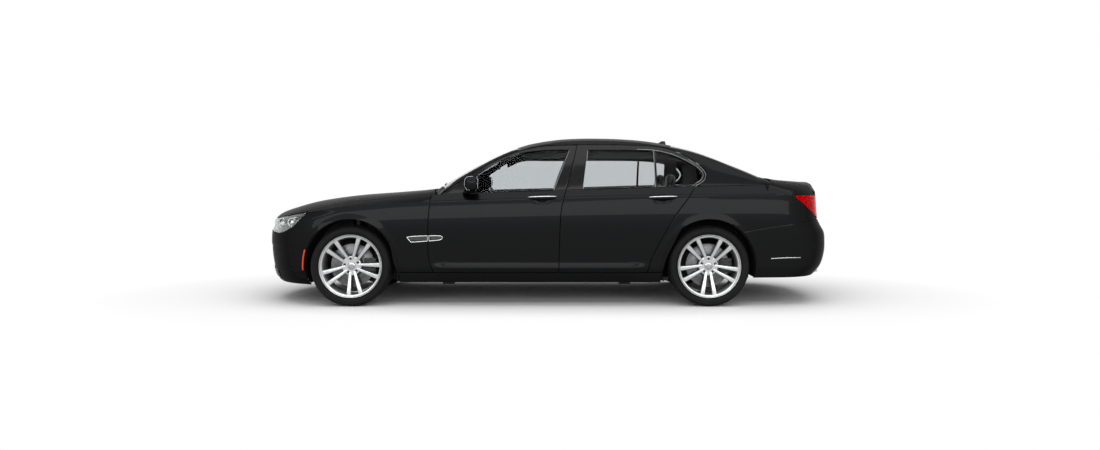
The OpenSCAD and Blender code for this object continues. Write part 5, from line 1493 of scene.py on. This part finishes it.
def finisher(side):
    """Trim round a tailpipe's end."""
    y, z = 480.0 * side, 284.0
    x = float(tail_at_y(np.array(y), np.array(z))[0]) - 16
    outer, inner = oval(150, 52, 48, 3.4), oval(142, 44, 48, 3.4)
    rings = ((-40, outer), (3, outer), (5, (outer + inner) / 2), (3, inner), (-36, inner), (-36, inner * 0.02))
    return loft([pts(x + dx, y + o[:, 0], z + o[:, 1]) for dx, o in rings], caps=False)


piece("exhaust_finishers", join(finisher(1), finisher(-1)), CHROME, "body")
sensor = placed(lathe([(0, 2.4), (14, 2.2), (16.5, 0.6), (17, -2)], 32),
                (SENSOR_X, -float(side_y(SENSOR_X, SENSOR_Z)), SENSOR_Z), rotation("z", 38))
piece("parking_sensors", both(sensor), PAINT, "body")


# Antenna fin and wipers

def fin_mesh():
    o = oval(2, 2, 28, 2.2)
    foot = float(cabin_top_z(1085.0, 0.0)) - 6
    sections = []
    for t in np.linspace(0, 1, 14):
        front, back = lerp(1026.0, 1100, t**0.8), lerp(1142.0, 1132, t**1.5)
        mid, half = (front + back) / 2, (back - front) / 2
        sections.append(pts(mid + o[:, 0] * half, o[:, 1] * lerp(19, 5, t), lerp(foot, 1451.5, t)))
    return loft(sections)


def wiper_mesh(y0, y1):
    """Blade and spine of a wiper that rests near the foot of the windscreen."""
    u = np.linspace(0, 1, 24)
    y, v = lerp(y0, y1, u), lerp(0.03, 0.045, u)
    p = cabin_top_pt(screen_at(y / lerp(*SCREEN_HALF, v), v))
    return join(*[sweep(p + [0, 0, lift], oval(w, h, 10, 2.4), (-0.5, 0, 0.86))
                  for lift, w, h in ((1.5, 9, 6), (4, 14, 5))])


piece("antenna_fin", fin_mesh(), BLACK, "body")
piece("wiper_blades", join(wiper_mesh(-470, 20), wiper_mesh(60, 470)), RUBBER, "body")


# Underside: trays and the inner walls of the wheel houses

trays = [block((1150, 900, 6), (-1835, 0, 192), 2), block((560, 1150, 6), (1985, 0, 268), 2)]
walls = [block((800, 5, 148), (FRONT_AXLE, s * 488, 262), 2) for s in (-1, 1)]
walls += [block((800, 5, 250), (REAR_AXLE, s * 608, 340), 2) for s in (-1, 1)]
piece("undertrays", join(*trays), CHASSIS, "body")
piece("wheel_house_walls", join(*walls), PLASTIC, "body")


# Seats: closed side profiles (x, z)

SEAT = [(-480, 345), (-240, 338), (-20, 330), (50, 400), (48, 460), (0, 498), (-150, 502), (-300, 503), (-440, 492),
        (-492, 440)]
BACK = [(-36, 440), (40, 424), (92, 450), (130, 560), (190, 780), (252, 1000), (232, 1034), (196, 1032), (160, 1000),
        (100, 810), (40, 610), (-20, 500)]
REST = [(212, 1066), (250, 1064), (282, 1078), (294, 1130), (296, 1180), (262, 1198), (222, 1184), (212, 1130)]
BENCH = [(440, 345), (650, 322), (890, 308), (960, 400), (920, 480), (760, 505), (600, 508), (470, 494), (430, 440)]
BENCH_BACK = [(900, 470), (1000, 500), (1060, 700), (1142, 995), (1104, 1026), (1066, 1008), (1010, 820), (950, 610)]
REAR_REST = [(x + 868, z - 66) for x, z in REST]
UP, AHEAD = (0, 1), (-0.94, 0.34)
SEAT_Y, REST_Y, BENCH_HALF = 380, 400, 622
PLEAT_STEP = 62


def closed_smooth(points, n):
    """A closed curve through the points, at equal steps."""
    p = np.array(points, float)
    ext = np.concatenate([p[-3:], p, p[:4]])
    c = lengths(ext)
    t = np.linspace(c[3], c[3 + len(p)], n, endpoint=False)
    return np.stack([Line(*zip(c, ext[:, d]))(t) for d in (0, 1)], -1)


def cushion(points, y0, y1, top, side_round=46, bolster=16, pleats=0):
    """A padded form: a closed side profile across the seat, with full edges, bolsters and pleats on its top."""
    prof = closed_smooth(points, 72)
    mid = prof.mean(0)
    size = np.linalg.norm(prof - mid, axis=1)
    tangent = np.roll(prof, -1, 0) - np.roll(prof, 1, 0)
    out = pts(tangent[:, 1], -tangent[:, 0])
    out /= np.linalg.norm(out, axis=1, keepdims=True)
    out *= np.sign(np.sum(out * (prof - mid), 1).mean())
    face = ramp((out @ np.array(top, float) - 0.35) / 0.4)
    folds = np.abs(np.sin(lengths(prof) / PLEAT_STEP * np.pi)) ** 0.6
    sections = []
    half = (y1 - y0) / 2
    for t in np.sin(np.linspace(-np.pi / 2, np.pi / 2, 49)):
        u = abs(t)
        edge = max(0.0, (u * half - (half - side_round)) / side_round)
        shrink = side_round * (1 - math.sqrt(max(0.0, 1 - edge**2)))
        lift = bolster * float(ramp((u - 0.55) / 0.25)) - 6
        groove = -5 * math.exp(-((u - 0.58) / 0.025) ** 2)
        pleat = pleats * folds * float(1 - ramp((u - 0.5) / 0.06)) - pleats
        d = face * np.minimum(0, lift - bolster + groove + pleat * float(u < 0.58))
        q = prof + out * (d - np.minimum(shrink, 0.8 * size))[:, None]
        sections.append(pts(q[:, 0], (y0 + y1) / 2 + t * half, q[:, 1]))
    return loft(sections)


seats, posts = [], []
for y in (-SEAT_Y, SEAT_Y):
    seats += [cushion(SEAT, y - 258, y + 258, UP, pleats=4), cushion(BACK, y - 248, y + 248, AHEAD, pleats=4),
              cushion(REST, y - 128, y + 128, AHEAD, 52, 5)]
    posts += [tube([(236, y + d, 1015), (243, y + d, 1045), (248, y + d, 1080)], 7) for d in (-55, 55)]
    posts += [block((390, 400, 96), (-220, y, 292), 10)]
rear_seats = [cushion(profile, -BENCH_HALF, BENCH_HALF, top, pleats=4, bolster=10)
              for profile, top in ((BENCH, UP), (BENCH_BACK, AHEAD))]
rear_seats += [cushion(REAR_REST, y - 120, y + 120, AHEAD, 52, 5) for y in (-REST_Y, REST_Y)]
base = block((520, 1180, 96), (700, 0, 290), 10)
front = piece("front_seat_leather", join(*seats), LEATHER, "body", ["front_seats"], sharp=SEAT_SHARP)
rear = piece("rear_seat_leather", join(*rear_seats), LEATHER, "body", ["rear_seat"], sharp=SEAT_SHARP)
piece("seat_frames", join(*posts, base), PLASTIC, "body")


# Cabin: linings, carpet, console and steering wheel, and the covers at the feet of the pillars

screen_foot = [(-906, -597, 1011), (-898, -650, 1010), (-889, -700, 1008), (-881, -745, 1006), (-875, -776, 1003)]
bonnet_rear = [(-974, -597, 972), (-964, -650, 968), (-955, -700, 960), (-947, -745, 946), (-941, -776, 934)]
window_foot = [(1873, -642, 1110), (1874, -700, 1100), (1875, -755, 1088), (1875, -800, 1074), (1876, -824, 1060),
               (1876, -838, 1041)]
quarter_edge = [(1957, -644, 1080), (1957, -690, 1076), (1953, -735, 1066), (1944, -775, 1055), (1924, -810, 1043),
                (1892, -837, 1037)]
# A slot between the two spans is left for each bonnet hinge arm
COWL_SPANS = ((-597, -640), (-680, -776))


def ruled_cover(a, b, t, bulge):
    """A thin cover between two edges of the body, crowned along the middle."""
    a, b = smooth(a, 24), smooth(b, 24)
    k = np.linspace(0, 1, 10)[:, None, None]
    g = a[None] + (b - a)[None] * k + np.array([0, 0, bulge]) * 4 * k * (1 - k)
    return panel(g, shift(g, z=-t), 1.2)


def edge_between(points, y0, y1):
    """The part of an edge from y0 to y1."""
    x, y, z = np.array(points, float)[::-1].T
    at = np.linspace(y0, y1, 4)
    return pts(np.interp(at, y, x), at, np.interp(at, y, z))


def screen_housing_mesh():
    """Housing of the inside mirror's foot and the light sensor, close under the windscreen."""
    sections = []
    for x, half, deep in ((-590, 22, 10), (-560, 46, 26), (-500, 62, 40), (-430, 68, 46), (-360, 66, 44),
                          (-318, 60, 34)):
        y = np.linspace(-half, half, 15)
        top = pts(x, y, cabin_top_z(x, y) - 8)
        low = top - pts(0, 0, deep * (1 - (y / half) ** 4)) - [0, 0, 2]
        sections.append(np.concatenate([top, low[::-1]]))
    mirror = block((16, 230, 62), (-452, 0, float(cabin_top_z(-452, 0)) - 96), 7)
    stem = tube([(-446, 0, float(cabin_top_z(-446, 0)) - k) for k in (40, 60, 80)], 9)
    return join(loft(sections), mirror, stem)


def lining_mesh():
    """Lining of the roof side, and of the rear roof pillar below it."""
    x = np.linspace(-400, 1330, 90)
    top = cabin_top_z(x, 590.0) - 40
    low_line = Line((-400, 1205), (-250, 1268), (0, 1272), (900, 1272), (1180, 1245), (1330, 1190))
    low = np.minimum(low_line(x), top - 6)
    g = np.array([pts(x, -lerp(655, 585, t**1.5), lerp(low, top, t)) for t in np.linspace(0, 1, 8)])
    x = np.linspace(1205, 1330, 12)
    top = cabin_top_z(x, 600.0) - 45
    h = np.array([pts(x, -lerp(705, 600, t), lerp(1000.0, top, t)) for t in np.linspace(0, 1, 14)])
    return join(*[panel(grid, shift(grid, y=7), 2) for grid in (g, h)])


def console_mesh():
    sections = []
    for x, h, w in ((-600, 190, 196), (-560, 190, 210), (-300, 176, 214), (-60, 200, 214), (140, 214, 210),
                    (200, 190, 200), (216, 150, 180)):
        o = oval(w, h, 32, 5)
        sections.append(pts(x, o[:, 0], 376 + h / 2 + o[:, 1]))
    return loft(sections)


def round_z(profile, n):
    """Revolves points (radius, height) about the Z axis."""
    p, a = np.array(profile, float)[:, None], np.linspace(0, 2 * np.pi, n, endpoint=False)
    return grid_mesh(pts(p[..., 0] * np.cos(a), p[..., 0] * np.sin(a), p[..., 1]), wrap=True)


roof = cabin_top_pt(roof_at(*uv(30, 26)))
x, y = np.meshgrid(np.linspace(-1004, 1034, 40), np.linspace(-732, 732, 30))
carpet = pts(x, y, 239)
pillar_foot = ruled_cover(window_foot, quarter_edge, 14, 4)
cowl_end = join(*[ruled_cover(edge_between(screen_foot, *span), edge_between(bonnet_rear, *span), 5, 2)
                  for span in COWL_SPANS])
x, y = np.meshgrid(np.linspace(1165, 1890, 16), np.linspace(-600, 600, 20), indexing="ij")
shelf = pts(x, y, 1000 + 0.02 * (x - 1150))
piece("headliner", slab(shift(roof, z=-27), shift(roof, z=-33)), HEADLINER, "body")
piece("carpet", slab(carpet, shift(carpet, z=-3)), CARPET, "body")
piece("pillar_feet", both(pillar_foot), PAINT, "body")
piece("cowl_ends", both(cowl_end), PLASTIC, "body")
piece("boot_partition", block((8, 1400, 560), (1172, 0, 700), 3), CARPET, "body")
piece("inside_mirror", screen_housing_mesh(), TRIM_DARK, "body")
piece("roof_linings", both(lining_mesh()), HEADLINER, "body")
piece("parcel_shelf", slab(shelf, shift(shelf, z=-16)), CARPET, "body")
piece("console", console_mesh(), TRIM_DARK, "body")

WHEEL_AT, WHEEL_TURN = (-430, -380, 840), rotation("y", 66)
ring = [(176 + 15 * math.cos(a), 14 * math.sin(a)) for a in np.linspace(0, 2 * np.pi, 24)]
wheel_rim = placed(round_z(ring, 120), WHEEL_AT, WHEEL_TURN)
hub = round_z([(0, 8), (40, 7), (56, 2), (62, -12), (60, -40), (26, -44), (24, -60), (24, -200), (0, -200)], 64)
spokes = [bar(smooth([(0, s * 50, -14), (0, s * 110, -8), (0, s * 168, 0)], 12), 12, np.linspace(46, 30, 13), (1, 0, 0))
          for s in (-1, 1)]
spokes += [bar(smooth([(50, 0, -14), (110, 0, -8), (168, 0, 0)], 12), 12, np.linspace(40, 26, 13), (0, 1, 0))]
wheel_hub = placed(join(hub, *spokes), WHEEL_AT, WHEEL_TURN)
piece("steering_wheel_rim", wheel_rim, LEATHER, "steering_wheel", ["steering_wheel"])
piece("steering_wheel_hub", wheel_hub, TRIM_DARK, "steering_wheel")


# CAD pieces that keep their shape

CAD_LOOKS = ((CHASSIS, ("floor_pan", "bulkhead", "hinge_posts", "lid_brackets", "front_rails", "bumper_beams")),
             (STEEL, ("front_suspension", "rear_suspension", "exhaust")),
             (CAST, ("engine", "knuckle_left", "knuckle_right")),
             (TRIM_DARK, ("dashboard",)),
             (CARPET, ("boot_floor", "boot_walls")))
for mat, names in CAD_LOOKS:
    for name in names:
        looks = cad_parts[name].data.materials
        looks.clear()
        looks.append(mat)


# Stage: floor, light and camera; the camera's numbers are pixels of the picture

IMAGE_W, IMAGE_H, FOCAL, HORIZON = 1100, 450, 914, 178
SENSOR_W = 36
FLOOR_HALF = 60


def seen_directly(tree):
    """1 for rays that show the background: seen by the camera, mirrored or through glass."""
    path = node(tree, "ShaderNodeLightPath").outputs
    seen = path["Is Camera Ray"]
    for ray in ("Is Glossy Ray", "Is Transmission Ray"):
        seen = node(tree, "ShaderNodeMath", {0: seen, 1: path[ray]}, operation="ADD", use_clamp=True).outputs[0]
    return seen


def added(name, data):
    obj = bpy.data.objects.new(name, data)
    bpy.context.scene.collection.objects.link(obj)
    return obj


def soft_box(name, size, energy, at, tilt):
    lamp = bpy.data.lights.new(name, "AREA")
    lamp.shape = "RECTANGLE"
    lamp.size, lamp.size_y = size
    lamp.energy = energy
    obj = added(name, lamp)
    obj.location = at
    obj.rotation_euler = (math.radians(tilt), 0, 0)


def floor_material():
    """Pale floor that fades to white away from the car where it is seen directly."""
    mat, tree, bsdf = new_material("pale_floor")
    seen = seen_directly(tree)
    wire(tree, bsdf, {"Base Color": tint(tree, seen, (0.55, 0.55, 0.55), (0.85, 0.85, 0.85)),
                      "Roughness": 1.0, "Specular IOR Level": 0.0})
    place = node(tree, "ShaderNodeTexCoord").outputs["Object"]
    flat = node(tree, "ShaderNodeVectorMath", {0: place, 1: (0.62, 1.0, 0.0)}, operation="MULTIPLY").outputs[0]
    away = node(tree, "ShaderNodeVectorMath", {0: flat}, operation="LENGTH").outputs["Value"]
    far = node(tree, "ShaderNodeMath", {0: between(tree, away, 1.5, 2.6), 1: seen}, operation="MULTIPLY").outputs[0]
    white = node(tree, "ShaderNodeEmission", {"Color": (1, 1, 1, 1), "Strength": 1.0}).outputs[0]
    mixed = node(tree, "ShaderNodeMixShader", {0: far, 1: bsdf.outputs[0], 2: white}).outputs[0]
    wire(tree, tree.nodes["Material Output"], {"Surface": mixed})
    return mat


def stage():
    scene = bpy.context.scene
    scene.view_settings.view_transform = "Standard"
    world = bpy.data.worlds.new("studio")
    world.use_nodes = True
    scene.world = world
    tree = world.node_tree
    wire(tree, tree.nodes["Background"], {"Color": (1, 1, 1, 1),
                                          "Strength": between(tree, seen_directly(tree), 0, 1, 0.24, 1.0)})

    data = bpy.data.meshes.new("floor")
    corners = [(x * FLOOR_HALF, y * FLOOR_HALF, 0) for x, y in ((-1, -1), (1, -1), (1, 1), (-1, 1))]
    data.from_pydata(corners, [], [(0, 1, 2, 3)])
    data.materials.append(floor_material())
    obj = added("floor", data)

    soft_box("overhead", (10, 6), 380, (0, -0.5, 6.0), 0)
    soft_box("side_box", (22, 4.2), 930, (0, -12.5, 3.7), 78)
    soft_box("high_strip", (22, 1.8), 400, (0, -8.4, 7.4), 47)

    cam = bpy.data.cameras.new("camera")
    cam.sensor_fit = "HORIZONTAL"
    cam.sensor_width = SENSOR_W
    cam.lens = SENSOR_W * FOCAL / IMAGE_W
    cam.shift_y = -(IMAGE_H / 2 - HORIZON) / IMAGE_W
    obj = added("camera", cam)
    obj.location = (0.036, -8.73, 1.1)
    obj.rotation_euler = (math.pi / 2, 0, 0)
    scene.camera = obj


stage()
bpy.context.view_layer.update()
